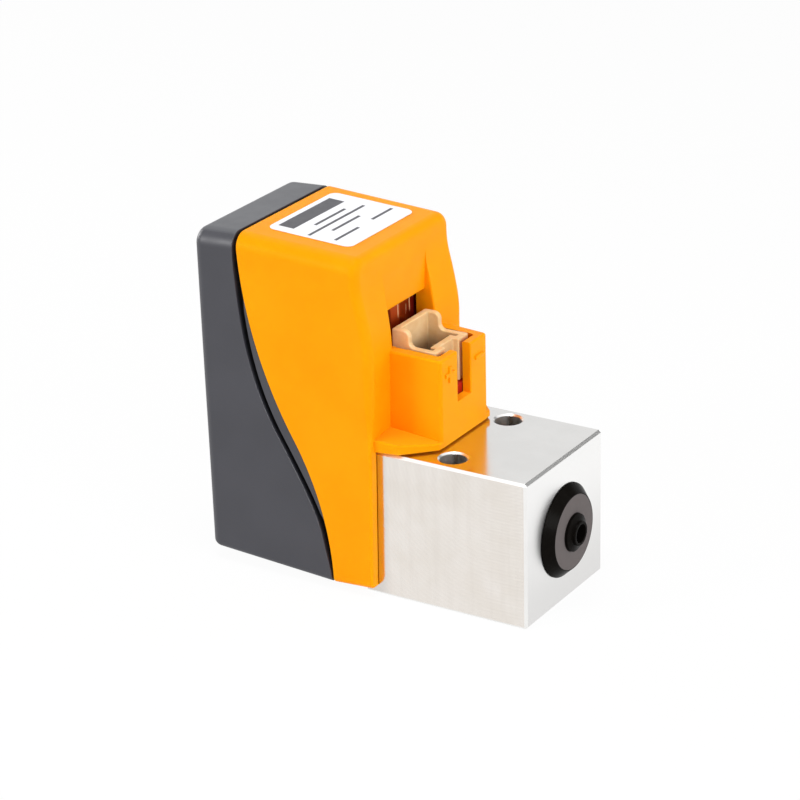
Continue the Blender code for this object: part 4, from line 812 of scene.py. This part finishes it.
# %% Front moulding
FACE_DEPTH, FACE_LEAN, FLARE = 19.6, 0.4, 1.57
FLARE_START, FLARE_END = 29.05, 39.65
LOW_ROUND, ROUND_GAIN, GAIN_START, GAIN_END = 0.3, 0.8, 16.0, 28.0
REBATE_LENGTH, REBATE_GAP = 1.22, 0.12
RECESS, FACE_TILT = 4.7, 0.4
PANEL_X, PANEL_LEAN, PANEL_FOOT = FRONT_X - 21.0, 0.4, 0.3
WINDOW_TOP, SILL, WINDOW_REACH = 32.95, 29.15, 2.15


def front_depth(z):
    """Depth of the front face: a slight lean, and the flare under the top edge."""
    lean = np.minimum((z - BOTTOM) / (FLARE_START - BOTTOM), 1.0)
    return FACE_DEPTH - FACE_LEAN * lean + FLARE * smooth(z, FLARE_START, FLARE_END)


def tilt(z):
    """Set-back of the cheeks' inner edges, which fades out in the flare."""
    return FACE_TILT * (1.0 - smooth(z, FLARE_START, FLARE_END))


def make_front_shell():
    """Skin of the front moulding, from its tilted face over the outside to the inside."""
    radius = LOW_ROUND + ROUND_GAIN * smooth(LEVEL, GAIN_START, GAIN_END)
    outer, inner = rounded_end(front_depth(LEVEL), radius, 1.0)
    face, middle = outer[0].copy(), (TOP + BOTTOM) / 2.0
    face[:, 2] = middle + (face[:, 2] - middle) * 0.98
    face[:, 0] -= tilt(face[:, 2])
    face[:, 1] = np.copysign(RECESS, face[:, 1])
    split = split_depth(LEVEL)
    rebate = LIP_STEP + STRIP_STEP - REBATE_GAP
    steps = [ring(split, rebate), ring(split - REBATE_LENGTH, rebate),
             ring(split - (REBATE_LENGTH + 2.0 * HAIR), WALL)]
    return shell("front_moulding", [face] + outer + edge(split, 0.12, -1.0) + steps + inner)


def make_recess():
    """Tool for the recess: the window below, then the panel's rounded foot and its leaning face.

    At each level the plan goes straight forward and then round a quarter arc outwards, whose
    radius is a share of the recess's depth there.
    """
    c, s = quarter(4)
    low = np.linspace(SILL, WINDOW_TOP, 6)
    high = np.linspace(WINDOW_TOP + PANEL_FOOT, TOP + 0.3, 24)
    z = np.concatenate([low, WINDOW_TOP + PANEL_FOOT * (1.0 - c), high])
    lean = PANEL_LEAN * (high - WINDOW_TOP) / (TOP - WINDOW_TOP)
    back = np.concatenate([low * 0.0 + PANEL_X - WINDOW_REACH,
                           PANEL_X - PANEL_FOOT + PANEL_FOOT * s, PANEL_X + lean])
    front = FRONT_X - front_depth(z) - tilt(z) + 0.02
    radius = np.clip(0.45 * (front - np.maximum(back, PANEL_X)), 0.01, 0.3)
    arc_x = [front - radius * (1.0 - b) for b in s]
    arc_y = [RECESS + radius * (1.0 - a) for a in c]
    right_x, right_y = [back] + arc_x + [front + 1.5], [RECESS + 0.0 * z] + arc_y + [arc_y[-1]]
    x = np.stack(right_x + right_x[::-1], axis=1)
    y = np.stack(right_y + [-v for v in right_y[::-1]], axis=1)
    return tube_of("cut_recess", np.stack([x, y, x * 0.0 + z[:, None]], axis=-1))


def make_panel():
    """Thick slab behind the recess, which follows the front wall: the panel and its side walls."""
    z = np.linspace(27.9, TOP - WALL - 3.0, 12)
    wall = np.stack([FRONT_X - front_depth(z) - WALL / 2.0, z], axis=1)
    back, half = PANEL_X - WALL, RECESS + WALL
    outline = np.vstack([[(back, z[0])], wall, [(back, z[-1])]])
    return carry("join_panel", outline, -half, half, "y")


print("front moulding's tools ready")

# %% [markdown]
# The connector pocket stands on a shelf between the cheeks. Both grow a little towards their
# root, by the mould's draft. Each is a stack of rings whose corners are arcs, and the rings near
# the top step inwards along another arc. A Bevel modifier would stop at the shortest edge that
# the cuts leave, and round nothing.

# %% Connector pocket
POCKET_X, POCKET_BACK = FRONT_X - 13.0, FRONT_X - 21.575
POCKET_TOP, POCKET_FLOOR, POCKET_RISE = 28.9, 22.55, 0.25
POCKET_HALF, POCKET_OUTER = 4.1, 5.2
POCKET_INSIDE_X = FRONT_X - 14.1
SHELF_BASE, SHELF_HEIGHT, SHELF_RISE = 18.2, 0.85, 0.9
WELL_HALF, WELL_LOW, WELL_HIGH = 3.2, 19.2, 23.5
SLOT_HALF, SLOT_FLOOR = 1.47, 22.75
TIGHT = 0.02


def arc_levels(radius, height, share):
    """Levels of a rounded upper edge, in the order of the angle a.

    Each is inset by radius * (1 - cos a) and lies at height - radius * (1 - sin a).
    """
    c, s = quarter(4)
    return [(radius * (1.0 - i), height - radius * (1.0 - j), share) for i, j in zip(c, s)]


def wedge(name, plan, levels, spread, rise, corner):
    """Stack a plan with rounded corners at levels of (inset, height, share of the rise).

    With t as the way from the pocket's front to its root, y grows by spread * t and a level that
    shares in the rise climbs by rise * t.
    """
    plan = np.asarray(plan, float)
    length = POCKET_X - POCKET_BACK
    plan[:, 1] += np.copysign(spread * (POCKET_X - plan[:, 0]) / length, plan[:, 1])
    front = np.isclose(plan[:, 0], plan[:, 0].max())
    rings = []
    for inset, height, share in levels:
        x, y = plan[:, 0] - inset * front, plan[:, 1] - np.copysign(inset, plan[:, 1])
        radius = np.where(front, corner - min(inset, corner - TIGHT), TIGHT)
        flat = rounded(np.column_stack([x, y]), radius, 5)
        z = height + share * rise * (POCKET_X - flat[:, 0]) / length
        rings.append(np.column_stack([flat, z]))
    return tube_of(name, rings)


def make_pocket():
    """Hollow pocket with its slot, on the shelf, with rounded outer edges and broken inner ones."""
    plan = mirrored([(POCKET_BACK, POCKET_OUTER), (POCKET_X, POCKET_OUTER)])
    levels = [(0.0, SHELF_BASE + 0.05, 0.0)] + arc_levels(0.3, POCKET_TOP, 1.0)
    pocket = wedge("pocket", plan, levels, 0.4, POCKET_RISE, 0.45)
    plan = mirrored([(POCKET_BACK, 10.07), (POCKET_X - 3.5, 9.17), (POCKET_X, 5.75)])
    levels = [(0.12, SHELF_BASE, 0.0), (0.0, SHELF_BASE + 0.12, 0.0)]
    levels += arc_levels(0.2, SHELF_BASE + SHELF_HEIGHT, 1.0)
    join(pocket, wedge("join_shelf", plan, levels, 0.0, SHELF_RISE, 0.5))
    back, front = POCKET_BACK - 2.0, POCKET_INSIDE_X
    plan = mirrored([(back, POCKET_HALF), (front, POCKET_HALF)])
    levels = [(0.0, POCKET_FLOOR, 0.0), (0.0, POCKET_TOP - 0.14, 1.0),
              (-1.0, POCKET_TOP + 0.86, 1.0)]
    inside = wedge("cut_inside", plan, levels, 0.0, POCKET_RISE, 0.2)
    well = box("cut_well", (back, front), (-WELL_HALF, WELL_HALF), (WELL_LOW, WELL_HIGH))
    plan = mirrored([(front - 1.0, SLOT_HALF), (POCKET_X - 0.12, SLOT_HALF),
                     (POCKET_X + 0.88, SLOT_HALF + 1.0)])
    cut(pocket, inside, well, carry("cut_slot", plan, SLOT_FLOOR, 30.5))
    return settle(pocket)


print("pocket's tools ready")

# %% [markdown]
# What is left of the orange moulding is small: the raised polarity marks on the pocket, the way
# from the pocket into the housing, and the room for the block, which goes through both
# mouldings. The tools are cut in turn, each a little larger than what it makes room for.

# %% Marks and the front moulding
MARK_ARM, MARK_HALF, MARK_HEIGHT, MARK_ACROSS = 0.98, 0.24, 26.75, 3.33
PASSAGE_HALF, PASSAGE_LOW, PASSAGE_TOP, SNUG = 4.095, 22.555, 29.6, 0.005
HEAD_ROOM, ROOM_TOP = 9.12, 18.12


def make_marks():
    """Raised plus and minus on the two posts, for the polarity."""
    arm, half = MARK_ARM, MARK_HALF
    cross = [(half, half), (half, arm), (-half, arm), (-half, half), (-arm, half), (-arm, -half),
             (-half, -half), (-half, -arm), (half, -arm), (half, -half), (arm, -half), (arm, half)]
    bar = [(-arm, -half), (arm, -half), (arm, half), (-arm, half)]
    marks = []
    for name, flat, y in (("join_plus", cross, -MARK_ACROSS), ("join_minus", bar, MARK_ACROSS)):
        outline = np.array(flat) + (y, MARK_HEIGHT)
        mark = carry(name, outline, POCKET_X - 0.2, POCKET_X + 0.25, "x")
        bevel(mark, 0.08, 2)
        marks.append(mark)
    return marks


def make_front():
    """Front moulding: skin, panel, recess, pocket, and the room for the block."""
    cover = make_front_shell()
    join(cover, make_panel())
    cut(cover, make_recess())
    join(cover, make_pocket())
    way, foot = (PANEL_X - WINDOW_REACH, FRONT_X - 18.2), WELL_HALF - SNUG
    cut(cover, box("cut_passage", way, (-PASSAGE_HALF, PASSAGE_HALF), (PASSAGE_LOW, PASSAGE_TOP)),
        box("cut_foot", way, (-foot, foot), (WELL_LOW + SNUG, WELL_HIGH)))
    join(cover, *make_marks())
    head, tail, start = (-HEAD_ROOM, HEAD_ROOM), (-TAIL_ROOM, TAIL_ROOM), FRONT_X - TAIL_DEPTH
    below = BOTTOM + WALL + 1.0
    cut(cover, box("cut_head", (FRONT_X - 21.62, FRONT_X + 1.0), head, (-1.0, ROOM_TOP)),
        box("cut_tongue", (FRONT_X - 38.3, start), tail, (-1.0, ROOM_TOP)),
        box("cut_floor", (FRONT_X - 34.0, start), head, (-1.0, below)))
    return settle(cover)


dress(make_front(), "orange_moulding", ["front_cover"])

# %% [markdown]
# The block's outline is plain, so its solid is carried up from a plan and its edges get the
# 0.3 mm chamfer of a deburred part. What the frame has as many-sided holes becomes round here:
# the two screw holes with their small countersinks, and the bores behind the nipple.

# %% Block
HEAD_HALF, TAIL_HALF, BLOCK_TOP = 9.0, 7.7, 18.0
HEAD_END, TAIL_END = FRONT_X - 21.5, FRONT_X - 38.3
HOLE_X, HOLE_Y, HOLE, SINK = 9.425, 6.3, 1.6, 0.2
AXIS_X, OUTLET_Z = -9.975, 3.2
ROUND_STEPS = 96


def drill(name, steps, end, at, along="z"):
    """Tool of (radius, start) steps along an axis, each of which runs to the next one's start."""
    radius, start = np.array(steps).T
    stop = np.append(start[1:], end)
    profile = np.column_stack([np.repeat(radius, 2), np.column_stack([start, stop]).ravel()])
    profile = np.vstack([[(0.0, start[0])], profile, [(0.0, end)]])
    return lathe(name, profile, at, along, ROUND_STEPS)


def make_block():
    """Milled block: chamfered plan, screw holes with countersinks, port and chamber bores."""
    plan = mirrored([(FRONT_X, HEAD_HALF), (HEAD_END, HEAD_HALF), (HEAD_END, TAIL_HALF),
                     (TAIL_END, TAIL_HALF)])
    block = carry("block", plan, 0.0, BLOCK_TOP)
    bevel(block, 0.3, 1)
    over, wide = 1.0, HOLE + SINK + 1.0
    waist = [(0.0, BLOCK_TOP + over), (wide, BLOCK_TOP + over), (HOLE, BLOCK_TOP - SINK),
             (HOLE, SINK), (wide, -over), (0.0, -over)]
    for side in (-1, 1):
        cut(block, lathe("cut_screw", waist, (HOLE_X, side * HOLE_Y, 0.0), "z", ROUND_STEPS))
    port = [(3.62, 1.0), (2.56, -1.1), (1.2, -5.5)]
    chamber = [(5.96, 19.0), (5.12, 16.9), (4.0, 15.8), (3.06, 6.8)]
    base = [(3.46, -1.0), (0.95, 1.1)]
    outlet = [(1.66, -39.3), (1.1, -35.2)]
    cut(block, drill("cut_port", port, -30.3, (FRONT_X, 0.0, PORT_Z), "x"),
        drill("cut_chamber", chamber, 5.1, (AXIS_X, 0.0, 0.0)),
        drill("cut_base", base, 3.6, (HOLE_X, 0.0, 0.0)),
        drill("cut_outlet", outlet, -9.4, (FRONT_X, 0.0, OUTLET_Z), "x"))
    return settle(block)


dress(make_block(), "aluminium", ["valve_body"])

# %% [markdown]
# The nipple is a turned part, so it is a profile carried round an axis. Real turned edges are
# broken by a small radius, and it is that radius that draws a thin bright line round a black
# part. The profile's corners become arcs before it is turned.

# %% Port nipple
# Each corner is (distance from the axis, place along it, radius of its arc).
NIPPLE = [
    (1.1, 2.15, 0.06), (1.48, 2.15, 0.08), (1.48, 1.75, 0.05), (NOZZLE, 1.55, 0.06),
    (NOZZLE, 1.2, 0.08), (FLANGE_FACE, 1.2, 0.10), (5.6, 0.1, 0.0), (2.5, 0.1, 0.0),
    (2.5, -4.7, 0.0), (1.1, -4.7, 0.0),
]


def make_nipple():
    """Flange, nozzle and bore: the table's rounded corners, turned round the port's axis."""
    table = np.array(NIPPLE)
    profile = rounded(table[:, :2], table[:, 2], 5)
    return lathe("nipple", profile, (FRONT_X, 0.0, PORT_Z), "x", 160)


dress(make_nipple(), "black_oxide", ["port_nipple"], 40.0)

# %% [markdown]
# The plug header is moulded in nylon: tall behind, with two rounded ears, and low in front, with
# a key notch. Its side is one outline with arcs, carried across, and the cavity and the notch
# are cut out. A small bevel softens its edges as the mould does.

# %% Header
HEADER_FRONT, HEADER_BACK, HEADER_HALF = FRONT_X - 14.6, FRONT_X - 20.35, 3.7
HEADER_BASE, HEADER_LEDGE, HEADER_TOP = 23.95, 29.1, 31.1
EAR, HEADER_WALL, KEY_HALF, KEY_STEP = 2.25, 0.8, 1.45, 0.75
PIN_X, PIN_Y, PIN_HOLE = FRONT_X - 17.75, 1.25, 0.484


def make_header():
    """Shrouded header with ears, cavity, key notch and two pin holes."""
    ear = HEADER_BACK + EAR
    side = [(HEADER_BACK, HEADER_BASE), (HEADER_BACK, HEADER_TOP), (ear, HEADER_TOP),
            (ear, HEADER_LEDGE), (HEADER_FRONT, HEADER_LEDGE), (HEADER_FRONT, HEADER_BASE)]
    side = rounded(side, [0.0, 0.0, 0.8, 0.7, 0.0, 0.0], 7)
    header = carry("header", side, -HEADER_HALF, HEADER_HALF, "y")
    back, front = HEADER_BACK + HEADER_WALL, HEADER_FRONT - HEADER_WALL
    wide, key = HEADER_HALF - HEADER_WALL, KEY_HALF + HEADER_WALL
    plan = mirrored([(back, wide), (front, wide), (front, key), (front - KEY_STEP, key)])
    notch, above = (HEADER_FRONT - KEY_STEP, HEADER_FRONT + 1.0), HEADER_TOP + 1.0
    cut(header, carry("cut_cavity", plan, HEADER_BASE + 1.2, above),
        box("cut_key", notch, (-KEY_HALF, KEY_HALF), (HEADER_BASE - 1.0, above)))
    bevel(header, 0.15, 3, 50.0)
    settle(header)
    hole = [(PIN_HOLE, HEADER_BASE + 2.2)]
    for y in (-PIN_Y, PIN_Y):
        cut(header, drill("cut_pin", hole, HEADER_BASE - 1.0, (PIN_X, y, 0.0)))
    return settle(header)


dress(make_header(), "header_nylon", ["header_housing"])

# %% [markdown]
# Film tape on a coil never lies quite flat. Its overlaps run up the coil and make small steps in
# the radius, and between them it ripples. Both are functions of the angle, with a little of the
# height in them, on a grid of angle and height.

# %% Coil wrap
COIL_LOW, COIL_HIGH, COIL_INNER, COIL_SHOULDER, COIL_OUTER = 21.0, 33.9, 4.2, 7.35, 7.7
COIL_POWER, OVERLAPS, COIL_STEPS = 7, 11.0, 360


def make_coil():
    """Coil wrap: radius = squareness * (outer + step at each overlap + ripple), closed at its ends.

    The turns bulge into a rounded square: squareness = (|cos a|^n + |sin a|^n)^(-1/n).
    """
    angle = np.linspace(0.0, math.tau, COIL_STEPS + 1)[:-1][None, :]
    z = np.linspace(COIL_LOW + 0.8, COIL_HIGH - 0.8, 40)[:, None]
    overlap = np.mod(angle * OVERLAPS / math.tau + 0.04 * np.sin(z), 1.0)
    step = 0.06 * smooth(overlap, 0.0, 0.12) * (1.0 - 0.6 * smooth(overlap, 0.12, 1.0))
    ripple = 0.015 * np.sin(23.0 * angle + 1.3 * np.sin(0.9 * z))
    ripple = ripple + 0.012 * np.sin(1.7 * z + 3.0 * angle)
    square = np.abs(np.cos(angle)) ** COIL_POWER + np.abs(np.sin(angle)) ** COIL_POWER
    square = square ** (-1.0 / COIL_POWER)
    skin, shoulder = square * (COIL_OUTER + step + ripple), square * COIL_SHOULDER
    rings = [(COIL_INNER, COIL_LOW), (shoulder, COIL_LOW), (skin, z), (shoulder, COIL_HIGH),
             (COIL_INNER, COIL_HIGH), (COIL_INNER, COIL_LOW)]
    radius = np.vstack([np.broadcast_to(r, (np.size(h), COIL_STEPS)) for r, h in rings])
    height = np.vstack([np.broadcast_to(h, (np.size(h), COIL_STEPS)) for r, h in rings])
    x, y = AXIS_X + radius * np.cos(angle), radius * np.sin(angle)
    points = np.stack([x, y, height], axis=-1)
    return new_object("coil_wrap", points, grid_faces(len(points), COIL_STEPS))


dress(make_coil(), "coil_tape", ["coil_winding"], 60.0)

# %% [markdown]
# The return spring is hidden, but it is the one piece of the valve that changes its length: its top
# stays in the fixed core and its foot follows the armature. Here it is a round wire on a helix,
# whose first and last turns are closed.

# %% Return spring
SPRING_RADIUS, SPRING_WIRE, SPRING_TURNS, CLOSED_PITCH = 0.95, 0.15, 8, 0.33


def make_spring():
    """Wire round a helix: z climbs by the closed pitch in each end turn, and evenly between."""
    low, high = (corner[2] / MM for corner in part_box("return_spring"))
    low, high = low + SPRING_WIRE, high - SPRING_WIRE
    turn = np.linspace(0.0, SPRING_TURNS, SPRING_TURNS * 48 + 1)[:, None]
    ends = np.minimum(turn, 1.0) + np.maximum(turn - SPRING_TURNS + 1.0, 0.0)
    middle = np.clip((turn - 1.0) / (SPRING_TURNS - 2.0), 0.0, 1.0)
    z = low + CLOSED_PITCH * ends + (high - low - 2.0 * CLOSED_PITCH) * middle
    about = np.linspace(0.0, math.tau, 17)[None, :-1]
    away = SPRING_RADIUS + SPRING_WIRE * np.cos(about)
    x, y = AXIS_X + away * np.cos(math.tau * turn), away * np.sin(math.tau * turn)
    return tube_of("spring_wire", np.stack([x, y, z + SPRING_WIRE * np.sin(about)], axis=-1))


spring = dress(make_spring(), "spring_steel", ["return_spring"], 40.0)
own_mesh(spring)

# %% [markdown]
# The sticker is a thin rounded sheet that lies on the sloping top. It is laid out flat, carried
# up by its thickness, and then its points are turned by the top's draft and moved into place, so
# that the object itself stays at the origin.

# %% Sticker sheet
SHEET_HALF_X, SHEET_HALF_Y, SHEET_CORNER = 5.625, 7.05, 1.0
SHEET_Z = TOP - 7.5 * TOP_DRAFT + 0.05
SHEET_LEVELS = [(0.0, 0.0), (0.0, 0.06), (0.03, 0.1)]


def make_sticker():
    """Rounded sheet, turned about Y by the angle a of the top's draft.

    A point x along and u above it lands at x cos a + u sin a, and at u cos a - x sin a in height.
    """
    x, y = SHEET_HALF_X, SHEET_HALF_Y
    plan = rounded([(x, y), (-x, y), (-x, -y), (x, -y)], SHEET_CORNER, 10)
    angle = math.atan(TOP_DRAFT)
    rings = []
    for inset, up in SHEET_LEVELS:
        flat = plan * (1.0 - inset / SHEET_HALF_X)
        x = flat[:, 0] * math.cos(angle) + up * math.sin(angle) + LABEL_PLACE[0]
        z = SHEET_Z - flat[:, 0] * math.sin(angle) + up * math.cos(angle)
        rings.append(np.column_stack([x, flat[:, 1] + LABEL_PLACE[1], z]))
    return tube_of("sticker", rings)


dress(make_sticker(), "label_white", ["label"])

# %% [markdown]
# The studio is plain: a pale floor, a pale world, three large soft lamps in front and above, and
# two dimmer ones for the sides behind. The background of the picture is white, but that white is
# only given to rays from the camera and to reflections, so that the object itself is lit at a
# level at which its colours come out as they are written. Bare metal in an all-white room loses
# its edges, so one black card stands behind, and only reflections see it.

# %% Floor, world and lamps
# Each lamp is (name, azimuth, elevation, size in mm, level).
LAMPS = [
    ("key", 70.0, 18.0, 150.0, 0.50),
    ("fill", -36.0, 22.0, 110.0, 0.40),
    ("top", 0.0, 80.0, 130.0, 0.50),
    ("back", 262.0, 12.0, 110.0, 0.26),
    ("far", 122.0, 10.0, 110.0, 0.16),
]
LAMP_DISTANCE, LAMP_AIM = 0.35, 20.0
WORLD_LIGHT = 0.35
FLOOR_WHITE, FLOOR_HALF, FLOOR_Z = 0.95, 1500.0, -0.02
FLAG_WAY, FLAG_DISTANCE, FLAG_HALF_X, FLAG_HALF_Y = (0.385, 0.783, 0.489), 300.0, 70.0, 45.0
SQUARE = ((-1, -1), (1, -1), (1, 1), (-1, 1))


def white_for_viewer(paint, kind, share, output):
    """Show plain white instead of the shader to the camera and to reflections, by the share."""
    ray = paint.node("ShaderNodeLightPath", out="Is Camera Ray")
    reflected = ray.output("Is Glossy Ray").most(ray.output("Is Transmission Ray"))
    seen = ray.most(reflected) * share
    white = paint.node(kind, values={"Color": (1.0, 1.0, 1.0), "Strength": 1.0})
    plain = Wire(paint, paint.shader.outputs[0])
    mixed = paint.node("ShaderNodeMixShader", values=[seen, plain, white])
    paint.fill(paint.tree.nodes[output].inputs["Surface"], mixed)


def make_floor():
    """A large pale floor under the base, which keeps the object's shadow."""
    corners = [(i * FLOOR_HALF, j * FLOOR_HALF, FLOOR_Z) for i, j in SQUARE]
    floor = new_object("floor", corners, [(0, 1, 2, 3)])
    paint = new_paint("pale_floor")
    paint.set(Base_Color=(0.86, 0.86, 0.86), Roughness=0.9, Specular_IOR_Level=0.0)
    white_for_viewer(paint, "ShaderNodeEmission", FLOOR_WHITE, "Material Output")
    floor.data.materials.append(paint.owner)


def make_world():
    """Even light from all round, seen as white."""
    world = bpy.data.worlds.new("studio")
    bpy.context.scene.world = world
    paint = Paint(world, "Background")
    paint.set(Color=(1.0, 1.0, 1.0), Strength=WORLD_LIGHT)
    white_for_viewer(paint, "ShaderNodeBackground", 1.0, "World Output")


def make_lamp(name, azimuth, elevation, size, level):
    """A square soft lamp that faces the object from an azimuth and an elevation in degrees.

    Azimuth 0 is in front of the object's -Y side and grows towards +X. The lamp's power is
    level * pi^2 * distance^2, with which a white surface facing it shows about that level.
    """
    a, e = math.radians(azimuth), math.radians(elevation)
    towards = Vector((math.sin(a) * math.cos(e), -math.cos(a) * math.cos(e), math.sin(e)))
    data = bpy.data.lights.new(name, "AREA")
    data.size = size * MM
    data.energy = level * math.pi * LAMP_DISTANCE ** 2 * math.pi
    lamp = put(name, data)
    lamp.location = Vector((0.0, 0.0, LAMP_AIM * MM)) + towards * LAMP_DISTANCE
    lamp.rotation_euler = towards.to_track_quat("Z", "Y").to_euler()


def make_flag():
    """A black card behind the object that draws the dark lines of the block's chamfers."""
    towards = Vector(FLAG_WAY)
    across = towards.cross(Vector((0.0, 0.0, 1.0))).normalized()
    up = across.cross(towards).normalized()
    corners = [towards * FLAG_DISTANCE + across * i * FLAG_HALF_X + up * j * FLAG_HALF_Y
               for i, j in SQUARE]
    flag = new_object("flag", corners, [(0, 1, 2, 3)])
    paint = new_paint("black_card")
    paint.set(Base_Color=(0.02, 0.02, 0.02), Roughness=0.9)
    flag.data.materials.append(paint.owner)
    flag.visible_camera = flag.visible_diffuse = flag.visible_shadow = False


make_floor()
make_world()
make_flag()
for lamp in LAMPS:
    make_lamp(*lamp)
print("lamps:", [lamp[0] for lamp in LAMPS])

# %% [markdown]
# The camera stands where the photograph was taken from: its place, direction and lens were
# worked out from the block's edges. A long lens from a third of a metre keeps lines nearly
# parallel, and the camera is rolled a little, as the picture is.

# %% Camera
CAMERA_PLACE = (168.755 * MM, -272.10 * MM, 154.55 * MM)
CAMERA_AZIMUTH = math.radians(32.025)
CAMERA_ELEVATION = math.radians(22.647)
CAMERA_ROLL = math.radians(-1.405)
CAMERA_LENS, CAMERA_SENSOR = 134.57, 36.0


def make_camera():
    """Perspective camera turned by azimuth and elevation, then rolled about its own axis."""
    data = bpy.data.cameras.new("camera")
    data.lens = CAMERA_LENS
    data.sensor_width = CAMERA_SENSOR
    data.clip_start = 0.01
    camera = put("camera", data)
    tip = Matrix.Rotation(math.pi / 2.0 - CAMERA_ELEVATION, 4, "X")
    turn = Matrix.Rotation(CAMERA_AZIMUTH, 4, "Z") @ tip @ Matrix.Rotation(CAMERA_ROLL, 4, "Z")
    camera.matrix_world = Matrix.Translation(CAMERA_PLACE) @ turn
    bpy.context.scene.camera = camera


make_camera()
bpy.context.scene.view_settings.view_transform = "Standard"
print("camera:", CAMERA_PLACE, "lens:", CAMERA_LENS)
